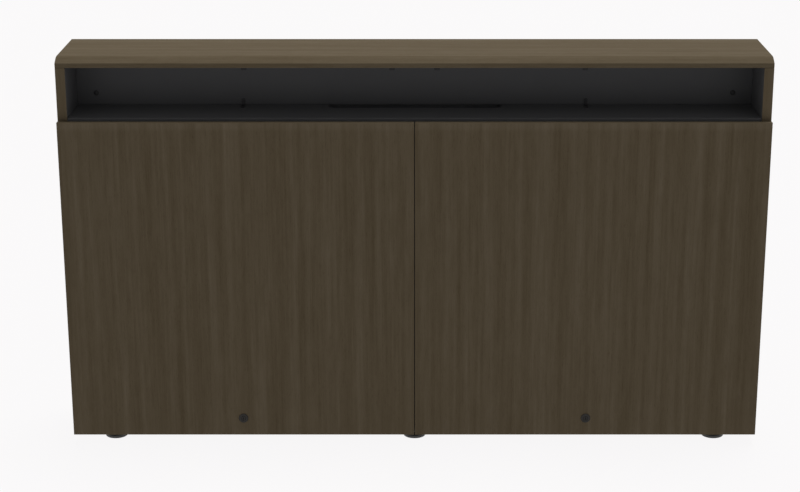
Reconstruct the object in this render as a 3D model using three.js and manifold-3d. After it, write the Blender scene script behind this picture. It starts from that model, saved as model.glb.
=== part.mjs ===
// A tall, shallow office credenza: an open cubby under a bevelled top, and below it two bays
// behind large fronts that lift on continuous hinges along their top edges.
// Millimetres, +Z up, front towards -Y. The origin is on the floor, in the middle of the plan.

import * as THREE from "three";
import { mergeVertices } from "three/addons/utils/BufferGeometryUtils.js";
import Module from "manifold-3d";

const wasm = await Module();
wasm.setup();

// Case
const CASE_WIDTH = 1829;
const CASE_DEPTH = 262;
const OVERALL_HEIGHT = 1049;
const FLOOR_CLEARANCE = 28;
const FIT = 0.3; // gap left between pieces that meet

// Boards
const TOP_THICKNESS = 25;
const SIDE_THICKNESS = 25;
const BOTTOM_THICKNESS = 25;
const CUBBY_SHELF_THICKNESS = 25;
const PARTITION_THICKNESS = 19;
const CUBBY_BACK_THICKNESS = 12;
const BEVEL_RUN = 26;
const BEVEL_DROP = 13;

// Rear panel, held in grooves
const REAR_PANEL_THICKNESS = 9;
const REAR_PANEL_INSET = 12;
const GROOVE_DEPTH = 6;
const CABLE_PORT_LENGTH = 160;
const CABLE_PORT_HEIGHT = 60;
const CABLE_PORT_RISE = 90; // from the bottom panel up to the middle of a port

// Cubby and the cable slot in its floor
const CUBBY_HEIGHT = 131;
const CUBBY_DEPTH = 160;
const CABLE_SLOT_LENGTH = 455;
const CABLE_SLOT_REACH = 38; // in front of the cubby back
const CABLE_SLOT_CHASE = 25; // behind the cubby back
const CABLE_SLOT_CORNER = 20;

// Brackets and screw caps in the cubby
const BRACKET_THICKNESS = 2;
const TOP_BRACKET_LEG = 38;
const TOP_BRACKET_WIDTH = 15;
const TOP_BRACKET_OUTER_X = 448;
const TOP_BRACKET_INNER_X = 59;
const SHELF_BRACKET_RISE = 18;
const SHELF_BRACKET_REACH = 36;
const SHELF_BRACKET_WIDTH = 10;
const SHELF_BRACKET_X = 451;
const SCREW_CAP_DIAMETER = 14;
const SCREW_CAP_THICKNESS = 4;
const SCREW_CAP_ROUNDING = 2;
const SCREW_CAP_FROM_SIDE = 51;
const SCREW_CAP_RISE = 32;

// Fronts
const DOOR_THICKNESS = 19;
const DOOR_TOP_DROP = 6.5; // from the cubby floor down to the top edge of the fronts
const DOOR_MEETING_GAP = 2;
const BUMPER_DIAMETER = 9;
const LOWER_BUMPER_RISE = 60;
const UPPER_BUMPER_RISE = 520;

// Continuous hinges
const KNUCKLE_DIAMETER = 6.4;
const KNUCKLE_COUNT = 9;
const HINGE_PIN_DIAMETER = 3;
const HINGE_END_GAP = 6;
const HINGE_PLAY = 0.4; // between the closed leaves
const LEAF_THICKNESS = 1.2;
const LEAF_HEIGHT = 13.5;
const REBATE_CLEARANCE = 0.5; // round the knuckles

// Locks, low in the middle of each front
const LOCK_RISE = 23; // from the bottom panel up to the lock's axis
const LOCK_FLANGE_DIAMETER = 25;
const LOCK_FLANGE_THICKNESS = 1.7;
const LOCK_FLANGE_EDGE = 0.8;
const LOCK_BARREL_DIAMETER = 19;
const LOCK_PLUG_DIAMETER = 12;
const LOCK_NUT_CORNERS = 25;
const LOCK_NUT_THICKNESS = 4;
const KEYWAY_WIDTH = 1.8;
const KEYWAY_LENGTH = 7;
const KEYWAY_DEPTH = 6;
const CAM_STUD = 7;
const CAM_STUD_LENGTH = 3;
const CAM_WIDTH = 14;
const CAM_THICKNESS = 2;
const CAM_FLOOR_GAP = 2; // under the hanging cam
const CAM_PLAY = 0.7; // between the cam and its strike
const STRIKE_WIDTH = 20;
const STRIKE_THICKNESS = 2;
const STRIKE_FOOT = 22;
const STRIKE_RISE = 10; // above the lock's axis
const STRIKE_SIDE_GAP = 1;

// Adjustable shelves
const LOOSE_SHELF_THICKNESS = 19;
const LOOSE_SHELF_SETBACK = 25;
const LOOSE_SHELF_REAR_GAP = 16;
const LOOSE_SHELF_END_GAP = 0.8;
const SHELF_PIN_DIAMETER = 5;
const SHELF_PIN_IN = 8;
const SHELF_PIN_OUT = 9;
const PIN_ROW_INSET = 25; // from the ends of the shelf to the rows of holes
const PIN_HOLE_COUNT = 5;
const PIN_HOLE_PITCH = 64;
const PIN_HOLE_FIRST = 260; // from the bottom panel up to the lowest hole
const PIN_HOLE_USED = 2;

// Levelling feet
const FOOT_DIAMETER = 60;
const FOOT_EDGE = 2;
const FOOT_PAD_HEIGHT = 9;
const FOOT_CONE_HEIGHT = 7;
const FOOT_NECK_DIAMETER = 22;
const FOOT_STEM_DIAMETER = 10;
const FOOT_STEM_LENGTH = 20;
const FOOT_FROM_SIDE = 104;
const FOOT_FROM_EDGE = 50;
const INSERT_FLANGE_DIAMETER = 34;
const INSERT_FLANGE_THICKNESS = 2.5;
const INSERT_BARREL_DIAMETER = 16;
const INSERT_BARREL_LENGTH = 21;

// Facets
const NUT_SIDES = 6;
const SMALL_ROUND = 8;
const HINGE_ROUND = 10;
const LOCK_ROUND = 16;
const FOOT_ROUND = 20;
const CORNER_STEPS = 4;
const CUT_OVERRUN = 1; // how far a cut runs past the face it opens

// Shared planes. Y runs back from the front edges of the case.
const halfWidth = CASE_WIDTH / 2;
const innerX = halfWidth - SIDE_THICKNESS;
const topUnderside = OVERALL_HEIGHT - TOP_THICKNESS;
const cubbyFloor = topUnderside - CUBBY_HEIGHT;
const shelfUnderside = cubbyFloor - CUBBY_SHELF_THICKNESS;
const bayFloor = FLOOR_CLEARANCE + BOTTOM_THICKNESS;
const rearPanelBack = CASE_DEPTH - REAR_PANEL_INSET;
const rearPanelFront = rearPanelBack - REAR_PANEL_THICKNESS;
const boardsBack = rearPanelFront - FIT;
const shelfFront = LEAF_THICKNESS + 2 * FIT;

const knuckleRadius = KNUCKLE_DIAMETER / 2;
const doorTop = cubbyFloor - DOOR_TOP_DROP;
const doorBack = -(LEAF_THICKNESS + HINGE_PLAY);
const doorFront = doorBack - DOOR_THICKNESS;
const hingeY = -(knuckleRadius + FIT);
const hingeZ = doorTop - knuckleRadius;

const lockX = (DOOR_MEETING_GAP / 2 + halfWidth) / 2;
const lockZ = bayFloor + LOCK_RISE;
const lockFace = doorFront - FIT - LOCK_FLANGE_THICKNESS;
const lockBarrelBack = doorBack + LOCK_NUT_THICKNESS + 2 * FIT;
const strikeFront = lockBarrelBack + FIT;
const camFront = strikeFront + STRIKE_THICKNESS + CAM_PLAY;

const loosePinZ = bayFloor + PIN_HOLE_FIRST + PIN_HOLE_USED * PIN_HOLE_PITCH;
const looseShelfBack = boardsBack - LOOSE_SHELF_REAR_GAP;
const pinRows = [LOOSE_SHELF_SETBACK + PIN_ROW_INSET, looseShelfBack - PIN_ROW_INSET];

const footColumns = { left: FOOT_FROM_SIDE - halfWidth, center: 0, right: halfWidth - FOOT_FROM_SIDE };
const footRows = { front: FOOT_FROM_EDGE, rear: CASE_DEPTH - FOOT_FROM_EDGE };
const insertTop = FLOOR_CLEARANCE + INSERT_BARREL_LENGTH;
const insertBase = FLOOR_CLEARANCE - FIT - INSERT_FLANGE_THICKNESS;

const SIDES = { left: -1, right: 1 };

// Finishes
function finish(color, roughness, metalness) {
  return new THREE.MeshStandardMaterial({ color, roughness, metalness });
}

const walnutLaminate = finish(0x45382b, 0.5, 0);
const blackLaminate = finish(0x1c1c1d, 0.6, 0);
const blackSteel = finish(0x17171a, 0.45, 0.8);
const zincSteel = finish(0xa9abad, 0.4, 1);
const lockMetal = finish(0x2a2826, 0.35, 0.9);
const blackPlastic = finish(0x1c1c1d, 0.55, 0);
const blackPaintedFoot = finish(0x141414, 0.55, 0.2);
const clearRubber = finish(0xb9b9b4, 0.7, 0);

// The scene graph: everything stands in one group whose Y starts at the front of the case.
const credenza = new THREE.Group();
const assembly = new THREE.Group();
assembly.position.y = (lockFace - CASE_DEPTH) / 2 - lockFace;
credenza.add(assembly);

function place(name, geometry, material) {
  const mesh = new THREE.Mesh(geometry, material.clone());
  mesh.name = name;
  assembly.add(mesh);
  return mesh;
}

// Joining and cutting closed shapes
function toSolid(geometry) {
  const bare = geometry.clone();
  bare.deleteAttribute("normal");
  bare.deleteAttribute("uv");
  const merged = mergeVertices(bare);
  const corners = merged.index.array;
  const kept = [];
  for (let i = 0; i < corners.length; i += 3) {
    const [a, b, c] = corners.slice(i, i + 3);
    if (a !== b && b !== c && c !== a) kept.push(a, b, c);
  }
  const vertProperties = new Float32Array(merged.attributes.position.array);
  const triVerts = new Uint32Array(kept);
  return new wasm.Manifold(new wasm.Mesh({ numProp: 3, vertProperties, triVerts }));
}

function toGeometry(solid) {
  const mesh = solid.getMesh();
  const geometry = new THREE.BufferGeometry();
  geometry.setAttribute("position", new THREE.BufferAttribute(mesh.vertProperties, 3));
  geometry.setIndex(new THREE.BufferAttribute(mesh.triVerts, 1));
  geometry.computeVertexNormals();
  return geometry;
}

function join(geometries) {
  return toGeometry(geometries.map(toSolid).reduce((whole, piece) => whole.add(piece)));
}

function cut(geometry, cutters) {
  return toGeometry(cutters.map(toSolid).reduce((rest, cutter) => rest.subtract(cutter), toSolid(geometry)));
}

// Basic shapes, given by their place in the assembly
function block([x0, x1], [y0, y1], [z0, z1]) {
  const box = new THREE.BoxGeometry(x1 - x0, y1 - y0, z1 - z0);
  return box.translate((x0 + x1) / 2, (y0 + y1) / 2, (z0 + z1) / 2);
}

function rodAlongX(diameter, [x0, x1], y, z, sides) {
  const rod = new THREE.CylinderGeometry(diameter / 2, diameter / 2, x1 - x0, sides);
  return rod.rotateZ(Math.PI / 2).translate((x0 + x1) / 2, y, z);
}

function rodAlongY(diameter, x, [y0, y1], z, sides) {
  const rod = new THREE.CylinderGeometry(diameter / 2, diameter / 2, y1 - y0, sides);
  return rod.translate(x, (y0 + y1) / 2, z);
}

function rodAlongZ(diameter, x, y, [z0, z1], sides) {
  const rod = new THREE.CylinderGeometry(diameter / 2, diameter / 2, z1 - z0, sides);
  return rod.rotateX(Math.PI / 2).translate(x, y, (z0 + z1) / 2);
}

function turned(profile, sides) {
  return new THREE.LatheGeometry(profile.map(([radius, along]) => new THREE.Vector2(radius, along)), sides);
}

// A [y, z] outline carried along X
function profileAlongX(outline, [x0, x1]) {
  const shape = new THREE.Shape(outline.map(([y, z]) => new THREE.Vector2(y, z)));
  const solid = new THREE.ExtrudeGeometry(shape, { depth: x1 - x0, bevelEnabled: false });
  const axes = new THREE.Matrix4().makeBasis(
    new THREE.Vector3(0, 1, 0),
    new THREE.Vector3(0, 0, 1),
    new THREE.Vector3(1, 0, 0),
  );
  return solid.applyMatrix4(axes).translate(x0, 0, 0);
}

// A rectangle with round corners, centred on the origin
function roundedOutline(width, height, radius) {
  const x = width / 2 - radius;
  const y = height / 2 - radius;
  const shape = new THREE.Shape();
  shape.absarc(x, y, radius, 0, Math.PI / 2);
  shape.absarc(-x, y, radius, Math.PI / 2, Math.PI);
  shape.absarc(-x, -y, radius, Math.PI, 1.5 * Math.PI);
  shape.absarc(x, -y, radius, 1.5 * Math.PI, 2 * Math.PI);
  return shape;
}

function extruded(shape, depth) {
  return new THREE.ExtrudeGeometry(shape, { depth, bevelEnabled: false, curveSegments: CORNER_STEPS });
}

// The X span between two distances from the centre line, on one side of it
function spanX(sign, near, far) {
  return sign > 0 ? [near, far] : [-far, -near];
}

// Case boards
function rearGroove(x, z) {
  return block(x, [rearPanelFront - FIT, rearPanelBack + FIT], z);
}

function pinHoles(x) {
  const holes = [];
  for (const y of pinRows) {
    for (let i = 0; i < PIN_HOLE_COUNT; i += 1) {
      const z = bayFloor + PIN_HOLE_FIRST + i * PIN_HOLE_PITCH;
      holes.push(rodAlongX(SHELF_PIN_DIAMETER + 2 * FIT, x, y, z, SMALL_ROUND));
    }
  }
  return holes;
}

function makeTop() {
  const outline = [
    [0, topUnderside],
    [CASE_DEPTH, topUnderside],
    [CASE_DEPTH, OVERALL_HEIGHT],
    [BEVEL_RUN, OVERALL_HEIGHT],
    [0, OVERALL_HEIGHT - BEVEL_DROP],
  ];
  const board = profileAlongX(outline, [-halfWidth, halfWidth]);
  const reach = innerX + GROOVE_DEPTH;
  const groove = rearGroove([-reach, reach], [topUnderside - CUT_OVERRUN, topUnderside + GROOVE_DEPTH]);
  place("top_panel", cut(board, [groove]), walnutLaminate);
}

function makeSide(side, sign) {
  const height = [FLOOR_CLEARANCE, topUnderside - FIT];
  const board = block(spanX(sign, innerX, halfWidth), [0, CASE_DEPTH], height);
  const grooveX = spanX(sign, innerX - CUT_OVERRUN, innerX + GROOVE_DEPTH);
  const groove = rearGroove(grooveX, [FLOOR_CLEARANCE - CUT_OVERRUN, topUnderside]);
  const holes = pinHoles(spanX(sign, innerX - CUT_OVERRUN, innerX + SHELF_PIN_IN + FIT));
  place(`${side}_side_panel`, cut(board, [groove, ...holes]), walnutLaminate);
}

function makeBottom() {
  const reach = innerX - FIT;
  const board = block([-reach, reach], [0, CASE_DEPTH], [FLOOR_CLEARANCE, bayFloor]);
  const cuts = [rearGroove([-innerX, innerX], [bayFloor - GROOVE_DEPTH, bayFloor + CUT_OVERRUN])];
  for (const x of Object.values(footColumns)) {
    for (const y of Object.values(footRows)) {
      const depth = [FLOOR_CLEARANCE - CUT_OVERRUN, insertTop + FIT];
      cuts.push(rodAlongZ(INSERT_BARREL_DIAMETER + 2 * FIT, x, y, depth, HINGE_ROUND));
    }
  }
  place("bottom_panel", cut(board, cuts), blackLaminate);
}

function makePartition() {
  const reach = PARTITION_THICKNESS / 2;
  const board = block([-reach, reach], [0, boardsBack], [bayFloor + FIT, shelfUnderside - FIT]);
  const holes = Object.values(SIDES).flatMap((sign) => {
    return pinHoles(spanX(sign, reach - SHELF_PIN_IN - FIT, reach + CUT_OVERRUN));
  });
  place("center_partition", cut(board, holes), blackLaminate);
}

function makeCubby() {
  const reach = innerX - FIT;
  const shelf = block([-reach, reach], [shelfFront, boardsBack], [shelfUnderside, cubbyFloor]);
  const slotFront = CUBBY_DEPTH - CABLE_SLOT_REACH;
  const slotBack = CUBBY_DEPTH + CUBBY_BACK_THICKNESS + CABLE_SLOT_CHASE;
  const slot = extruded(
    roundedOutline(CABLE_SLOT_LENGTH, slotBack - slotFront, CABLE_SLOT_CORNER),
    CUBBY_SHELF_THICKNESS + 2 * CUT_OVERRUN,
  );
  slot.translate(0, (slotFront + slotBack) / 2, shelfUnderside - CUT_OVERRUN);
  place("cubby_shelf", cut(shelf, [slot]), blackLaminate);

  const backY = [CUBBY_DEPTH, CUBBY_DEPTH + CUBBY_BACK_THICKNESS];
  const back = block([-reach, reach], backY, [cubbyFloor + FIT, topUnderside - FIT]);
  place("cubby_back_panel", back, blackLaminate);
}

function makeRearPanel() {
  const reach = innerX + GROOVE_DEPTH - FIT;
  const height = [bayFloor - GROOVE_DEPTH + FIT, topUnderside + GROOVE_DEPTH - FIT];
  const panel = block([-reach, reach], [rearPanelFront, rearPanelBack], height);
  const ports = Object.values(SIDES).map((sign) => {
    const outline = roundedOutline(CABLE_PORT_LENGTH, CABLE_PORT_HEIGHT, CABLE_PORT_HEIGHT / 2);
    const port = extruded(outline, REAR_PANEL_THICKNESS + 2 * CUT_OVERRUN);
    return port.rotateX(Math.PI / 2).translate(
      sign * lockX,
      rearPanelBack + CUT_OVERRUN,
      bayFloor + CABLE_PORT_RISE,
    );
  });
  place("rear_panel", cut(panel, ports), blackLaminate);
}

// Adjustable shelves on pins
function makeLooseShelf(side, sign) {
  const near = PARTITION_THICKNESS / 2;
  const ends = spanX(sign, near + LOOSE_SHELF_END_GAP, innerX - LOOSE_SHELF_END_GAP);
  const underside = loosePinZ + SHELF_PIN_DIAMETER / 2 + FIT;
  const height = [underside, underside + LOOSE_SHELF_THICKNESS];
  const shelf = block(ends, [LOOSE_SHELF_SETBACK, looseShelfBack], height);
  place(`${side}_adjustable_shelf`, shelf, blackLaminate);

  const innerPin = spanX(sign, near - SHELF_PIN_IN, near + SHELF_PIN_OUT);
  const outerPin = spanX(sign, innerX - SHELF_PIN_OUT, innerX + SHELF_PIN_IN);
  const pinSpans = { inner: innerPin, outer: outerPin };
  for (const [end, span] of Object.entries(pinSpans)) {
    pinRows.forEach((y, row) => {
      const pin = rodAlongX(SHELF_PIN_DIAMETER, span, y, loosePinZ, SMALL_ROUND);
      place(`${side}_shelf_pin_${end}_${row === 0 ? "front" : "rear"}`, pin, zincSteel);
    });
  }
}

// Brackets and caps that hold the cubby back
function makeTopBracket(name, x) {
  const back = CUBBY_DEPTH - FIT;
  const top = topUnderside - FIT;
  const outline = [
    [back, top],
    [back - TOP_BRACKET_LEG, top],
    [back - TOP_BRACKET_LEG, top - BRACKET_THICKNESS],
    [back - BRACKET_THICKNESS, top - BRACKET_THICKNESS],
    [back - BRACKET_THICKNESS, top - TOP_BRACKET_LEG],
    [back, top - TOP_BRACKET_LEG],
  ];
  const width = [x - TOP_BRACKET_WIDTH / 2, x + TOP_BRACKET_WIDTH / 2];
  place(name, profileAlongX(outline, width), blackSteel);
}

function makeShelfBracket(name, x) {
  const back = CUBBY_DEPTH - FIT;
  const base = cubbyFloor + FIT;
  const outline = [
    [back, base],
    [back, base + SHELF_BRACKET_RISE],
    [back - BRACKET_THICKNESS, base + SHELF_BRACKET_RISE],
    [back - BRACKET_THICKNESS, base + BRACKET_THICKNESS],
    [back - SHELF_BRACKET_REACH, base + BRACKET_THICKNESS],
    [back - SHELF_BRACKET_REACH, base],
  ];
  const width = [x - SHELF_BRACKET_WIDTH / 2, x + SHELF_BRACKET_WIDTH / 2];
  place(name, profileAlongX(outline, width), blackSteel);
}

function makeCubbyFixings(side, sign) {
  makeTopBracket(`${side}_outer_top_bracket`, sign * TOP_BRACKET_OUTER_X);
  makeTopBracket(`${side}_inner_top_bracket`, sign * TOP_BRACKET_INNER_X);
  makeShelfBracket(`${side}_shelf_bracket`, sign * SHELF_BRACKET_X);

  const radius = SCREW_CAP_DIAMETER / 2;
  const cap = turned([
    [0, -SCREW_CAP_THICKNESS],
    [radius - SCREW_CAP_ROUNDING, -SCREW_CAP_THICKNESS],
    [radius, SCREW_CAP_ROUNDING - SCREW_CAP_THICKNESS],
    [radius, 0],
    [0, 0],
  ], HINGE_ROUND);
  cap.translate(sign * (innerX - SCREW_CAP_FROM_SIDE), CUBBY_DEPTH - FIT, cubbyFloor + SCREW_CAP_RISE);
  place(`${side}_screw_cap`, cap, blackPlastic);
}

// Fronts, their hinges and bumpers
function makeDoor(side, sign) {
  const rebateFront = hingeY - knuckleRadius - REBATE_CLEARANCE;
  const rebateFloor = hingeZ - knuckleRadius - REBATE_CLEARANCE;
  const outline = [
    [doorFront, FLOOR_CLEARANCE],
    [doorBack, FLOOR_CLEARANCE],
    [doorBack, rebateFloor],
    [rebateFront, rebateFloor],
    [rebateFront, doorTop],
    [doorFront, doorTop],
  ];
  const board = profileAlongX(outline, spanX(sign, DOOR_MEETING_GAP / 2, halfWidth));
  const through = [doorFront - CUT_OVERRUN, doorBack + CUT_OVERRUN];
  const lockHole = rodAlongY(LOCK_BARREL_DIAMETER + 2 * FIT, sign * lockX, through, lockZ, LOCK_ROUND);
  place(`${side}_door`, cut(board, [lockHole]), walnutLaminate);

  const rises = { lower: LOWER_BUMPER_RISE, upper: UPPER_BUMPER_RISE };
  for (const [level, rise] of Object.entries(rises)) {
    const bumper = rodAlongY(
      BUMPER_DIAMETER,
      sign * (halfWidth - SIDE_THICKNESS / 2),
      [doorBack + FIT, -FIT],
      FLOOR_CLEARANCE + rise,
      HINGE_ROUND,
    );
    place(`${side}_${level}_bumper`, bumper, clearRubber);
  }
}

function hingeLeaf(hingeX, y, z, web, firstKnuckle) {
  const [start, end] = hingeX;
  const pitch = (end - start) / KNUCKLE_COUNT;
  const pieces = [block(hingeX, y, z)];
  for (let i = firstKnuckle; i < KNUCKLE_COUNT; i += 2) {
    const x = [start + i * pitch + FIT / 2, start + (i + 1) * pitch - FIT / 2];
    pieces.push(rodAlongX(KNUCKLE_DIAMETER, x, hingeY, hingeZ, HINGE_ROUND));
    pieces.push(block(x, [hingeY, y[1]], web));
    pieces.push(block(x, y, [z[0], web[1]]));
  }
  const overrun = [start - CUT_OVERRUN, end + CUT_OVERRUN];
  const bore = rodAlongX(HINGE_PIN_DIAMETER + 2 * FIT, overrun, hingeY, hingeZ, HINGE_ROUND);
  return cut(join(pieces), [bore]);
}

function makeHinge(side, sign) {
  const hingeX = spanX(sign, HINGE_END_GAP, innerX - HINGE_END_GAP);
  const foot = hingeZ - LEAF_HEIGHT;

  const caseY = [FIT, FIT + LEAF_THICKNESS];
  const caseWeb = [hingeZ - LEAF_THICKNESS, hingeZ];
  const caseLeaf = hingeLeaf(hingeX, caseY, [foot, hingeZ], caseWeb, 0);
  place(`${side}_hinge_case_leaf`, caseLeaf, blackSteel);

  const doorY = [doorBack + FIT, doorBack + FIT + LEAF_THICKNESS];
  const doorWeb = [hingeZ - knuckleRadius, hingeZ - knuckleRadius + LEAF_THICKNESS];
  const doorLeaf = hingeLeaf(hingeX, doorY, [foot, doorWeb[0] - FIT], doorWeb, 1);
  place(`${side}_hinge_door_leaf`, doorLeaf, blackSteel);

  const pin = rodAlongX(HINGE_PIN_DIAMETER, hingeX, hingeY, hingeZ, HINGE_ROUND);
  place(`${side}_hinge_pin`, pin, zincSteel);
}

// Locks: unlocked, the cam hangs down; turned a quarter, it stands behind its strike.
function makeLock(side, sign) {
  const x = sign * lockX;
  const flangeRadius = LOCK_FLANGE_DIAMETER / 2;
  const barrelRadius = LOCK_BARREL_DIAMETER / 2;
  const boreRadius = LOCK_PLUG_DIAMETER / 2 + FIT;
  const housing = turned([
    [boreRadius, lockFace],
    [flangeRadius - LOCK_FLANGE_EDGE, lockFace],
    [flangeRadius, lockFace + LOCK_FLANGE_EDGE],
    [flangeRadius, doorFront - FIT],
    [barrelRadius, doorFront - FIT],
    [barrelRadius, lockBarrelBack],
    [boreRadius, lockBarrelBack],
    [boreRadius, lockFace],
  ], LOCK_ROUND);
  place(`${side}_lock_housing`, housing.translate(x, 0, lockZ), lockMetal);

  const nutY = [doorBack + FIT, doorBack + FIT + LOCK_NUT_THICKNESS];
  const nutBoreY = [nutY[0] - CUT_OVERRUN, nutY[1] + CUT_OVERRUN];
  const nut = cut(rodAlongY(LOCK_NUT_CORNERS, x, nutY, lockZ, NUT_SIDES), [
    rodAlongY(LOCK_BARREL_DIAMETER + 2 * FIT, x, nutBoreY, lockZ, LOCK_ROUND),
  ]);
  place(`${side}_lock_nut`, nut, zincSteel);

  const plugFace = lockFace + FIT;
  const stud = CAM_STUD / 2;
  const plug = join([
    rodAlongY(LOCK_PLUG_DIAMETER, x, [plugFace, camFront - FIT], lockZ, LOCK_ROUND),
    block(
      [x - stud, x + stud],
      [camFront - FIT - CUT_OVERRUN, camFront + CAM_STUD_LENGTH],
      [lockZ - stud, lockZ + stud],
    ),
  ]);
  const keyway = block(
    [x - KEYWAY_WIDTH / 2, x + KEYWAY_WIDTH / 2],
    [plugFace - CUT_OVERRUN, plugFace + KEYWAY_DEPTH],
    [lockZ - KEYWAY_LENGTH / 2, lockZ + KEYWAY_LENGTH / 2],
  );
  place(`${side}_lock_plug`, cut(plug, [keyway]), lockMetal);

  const camRadius = CAM_WIDTH / 2;
  const camReach = LOCK_RISE - CAM_FLOOR_GAP;
  const outline = new THREE.Shape();
  outline.absarc(0, 0, camRadius, 0, Math.PI);
  outline.absarc(0, camRadius - camReach, camRadius, Math.PI, 2 * Math.PI);
  const camPlate = new THREE.ExtrudeGeometry(outline, {
    depth: CAM_THICKNESS,
    bevelEnabled: false,
    curveSegments: SMALL_ROUND,
  });
  camPlate.rotateX(Math.PI / 2).translate(x, camFront + CAM_THICKNESS, lockZ);
  const hole = stud + FIT;
  const studHole = block(
    [x - hole, x + hole],
    [camFront - CUT_OVERRUN, camFront + CAM_THICKNESS + CUT_OVERRUN],
    [lockZ - hole, lockZ + hole],
  );
  place(`${side}_lock_cam`, cut(camPlate, [studHole]), zincSteel);

  const strikeX = [x + LOCK_NUT_CORNERS / 2 + STRIKE_SIDE_GAP];
  strikeX.push(strikeX[0] + STRIKE_WIDTH);
  const strikeFoot = bayFloor + FIT;
  const strike = join([
    block(strikeX, [strikeFront, strikeFront + STRIKE_THICKNESS], [strikeFoot, lockZ + STRIKE_RISE]),
    block(strikeX, [strikeFront, strikeFront + STRIKE_FOOT], [strikeFoot, strikeFoot + STRIKE_THICKNESS]),
  ]);
  place(`${side}_lock_strike`, strike, zincSteel);
}

// Levelling feet in threaded inserts
function makeFoot(row, column) {
  const x = footColumns[column];
  const y = footRows[row];
  const padRadius = FOOT_DIAMETER / 2;
  const neckRadius = FOOT_NECK_DIAMETER / 2;
  const stemRadius = FOOT_STEM_DIAMETER / 2;
  const coneTop = FOOT_PAD_HEIGHT + FOOT_CONE_HEIGHT;
  const neckTop = insertBase - FIT;
  const foot = turned([
    [0, 0],
    [padRadius - FOOT_EDGE, 0],
    [padRadius, FOOT_EDGE],
    [padRadius, FOOT_PAD_HEIGHT],
    [neckRadius, coneTop],
    [neckRadius, neckTop],
    [stemRadius, neckTop],
    [stemRadius, neckTop + FOOT_STEM_LENGTH],
    [0, neckTop + FOOT_STEM_LENGTH],
  ], FOOT_ROUND);
  place(`${row}_${column}_foot`, foot.rotateX(Math.PI / 2).translate(x, y, 0), blackPaintedFoot);

  const boreRadius = stemRadius + FIT;
  const flangeRadius = INSERT_FLANGE_DIAMETER / 2;
  const barrelRadius = INSERT_BARREL_DIAMETER / 2;
  const insert = turned([
    [boreRadius, insertBase],
    [flangeRadius, insertBase],
    [flangeRadius, FLOOR_CLEARANCE - FIT],
    [barrelRadius, FLOOR_CLEARANCE - FIT],
    [barrelRadius, insertTop],
    [boreRadius, insertTop],
    [boreRadius, insertBase],
  ], HINGE_ROUND);
  place(`${row}_${column}_insert`, insert.rotateX(Math.PI / 2).translate(x, y, 0), zincSteel);
}

makeTop();
makeBottom();
makePartition();
makeCubby();
makeRearPanel();
for (const [side, sign] of Object.entries(SIDES)) {
  makeSide(side, sign);
  makeLooseShelf(side, sign);
  makeCubbyFixings(side, sign);
  makeDoor(side, sign);
  makeHinge(side, sign);
  makeLock(side, sign);
}
for (const row of Object.keys(footRows)) {
  for (const column of Object.keys(footColumns)) {
    makeFoot(row, column);
  }
}

export default credenza;
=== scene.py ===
# %% [markdown]
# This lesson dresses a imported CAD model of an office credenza: an open cubby under a bevelled top, and
# two large fronts below it that lift on long hinges. The CAD solids fix every place and size. Each cell
# makes one piece or one finish, puts it where its solid is, and lets it ride on the same moving body.

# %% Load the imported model
import math

import bpy
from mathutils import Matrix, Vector


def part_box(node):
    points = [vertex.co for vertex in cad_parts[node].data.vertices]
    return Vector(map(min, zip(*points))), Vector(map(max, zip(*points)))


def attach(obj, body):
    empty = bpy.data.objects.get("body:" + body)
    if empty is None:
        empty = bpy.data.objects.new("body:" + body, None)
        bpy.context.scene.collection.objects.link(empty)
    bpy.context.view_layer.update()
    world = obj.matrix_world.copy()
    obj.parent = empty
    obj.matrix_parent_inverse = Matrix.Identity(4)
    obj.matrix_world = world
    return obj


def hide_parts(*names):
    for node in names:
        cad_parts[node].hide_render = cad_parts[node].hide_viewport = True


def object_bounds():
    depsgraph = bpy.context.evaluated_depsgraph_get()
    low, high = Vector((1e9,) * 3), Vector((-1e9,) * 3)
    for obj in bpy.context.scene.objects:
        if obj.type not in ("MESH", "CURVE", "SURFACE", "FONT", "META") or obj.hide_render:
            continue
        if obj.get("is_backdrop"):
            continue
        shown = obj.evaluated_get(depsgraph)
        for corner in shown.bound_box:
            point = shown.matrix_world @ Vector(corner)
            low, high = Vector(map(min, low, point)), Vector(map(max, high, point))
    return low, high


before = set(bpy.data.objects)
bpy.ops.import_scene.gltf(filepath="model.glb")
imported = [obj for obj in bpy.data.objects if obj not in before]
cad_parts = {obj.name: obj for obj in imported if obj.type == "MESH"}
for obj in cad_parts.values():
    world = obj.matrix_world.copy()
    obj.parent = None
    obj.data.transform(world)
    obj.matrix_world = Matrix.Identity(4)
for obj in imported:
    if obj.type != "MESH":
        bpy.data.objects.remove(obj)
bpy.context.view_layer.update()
MM = 0.001
SIDES = {"left": -1, "right": 1}

# %% [markdown]
# The camera stands where a perspective fit to the outline of the credenza puts it: a long lens, in front
# and well above, looking down by seventeen degrees. A tilt alone could also hold the object in the frame,
# but then its upright edges would not lean as they do from that place. The small shifts put the middle of
# the credenza a little to the right of the middle of the picture and below it.

# %% Camera
PICTURE_WIDTH = 800
FOCAL_LENGTH = 1907.9
SHIFT_RIGHT = 14.52
SHIFT_DOWN = 14.95
SENSOR = 36
CAMERA_BACK = 4.7716
CAMERA_HEIGHT = 2.0031
LOOK_DOWN = 17.37
FARTHEST = 200
case_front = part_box("left_side_panel")[0].y

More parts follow.
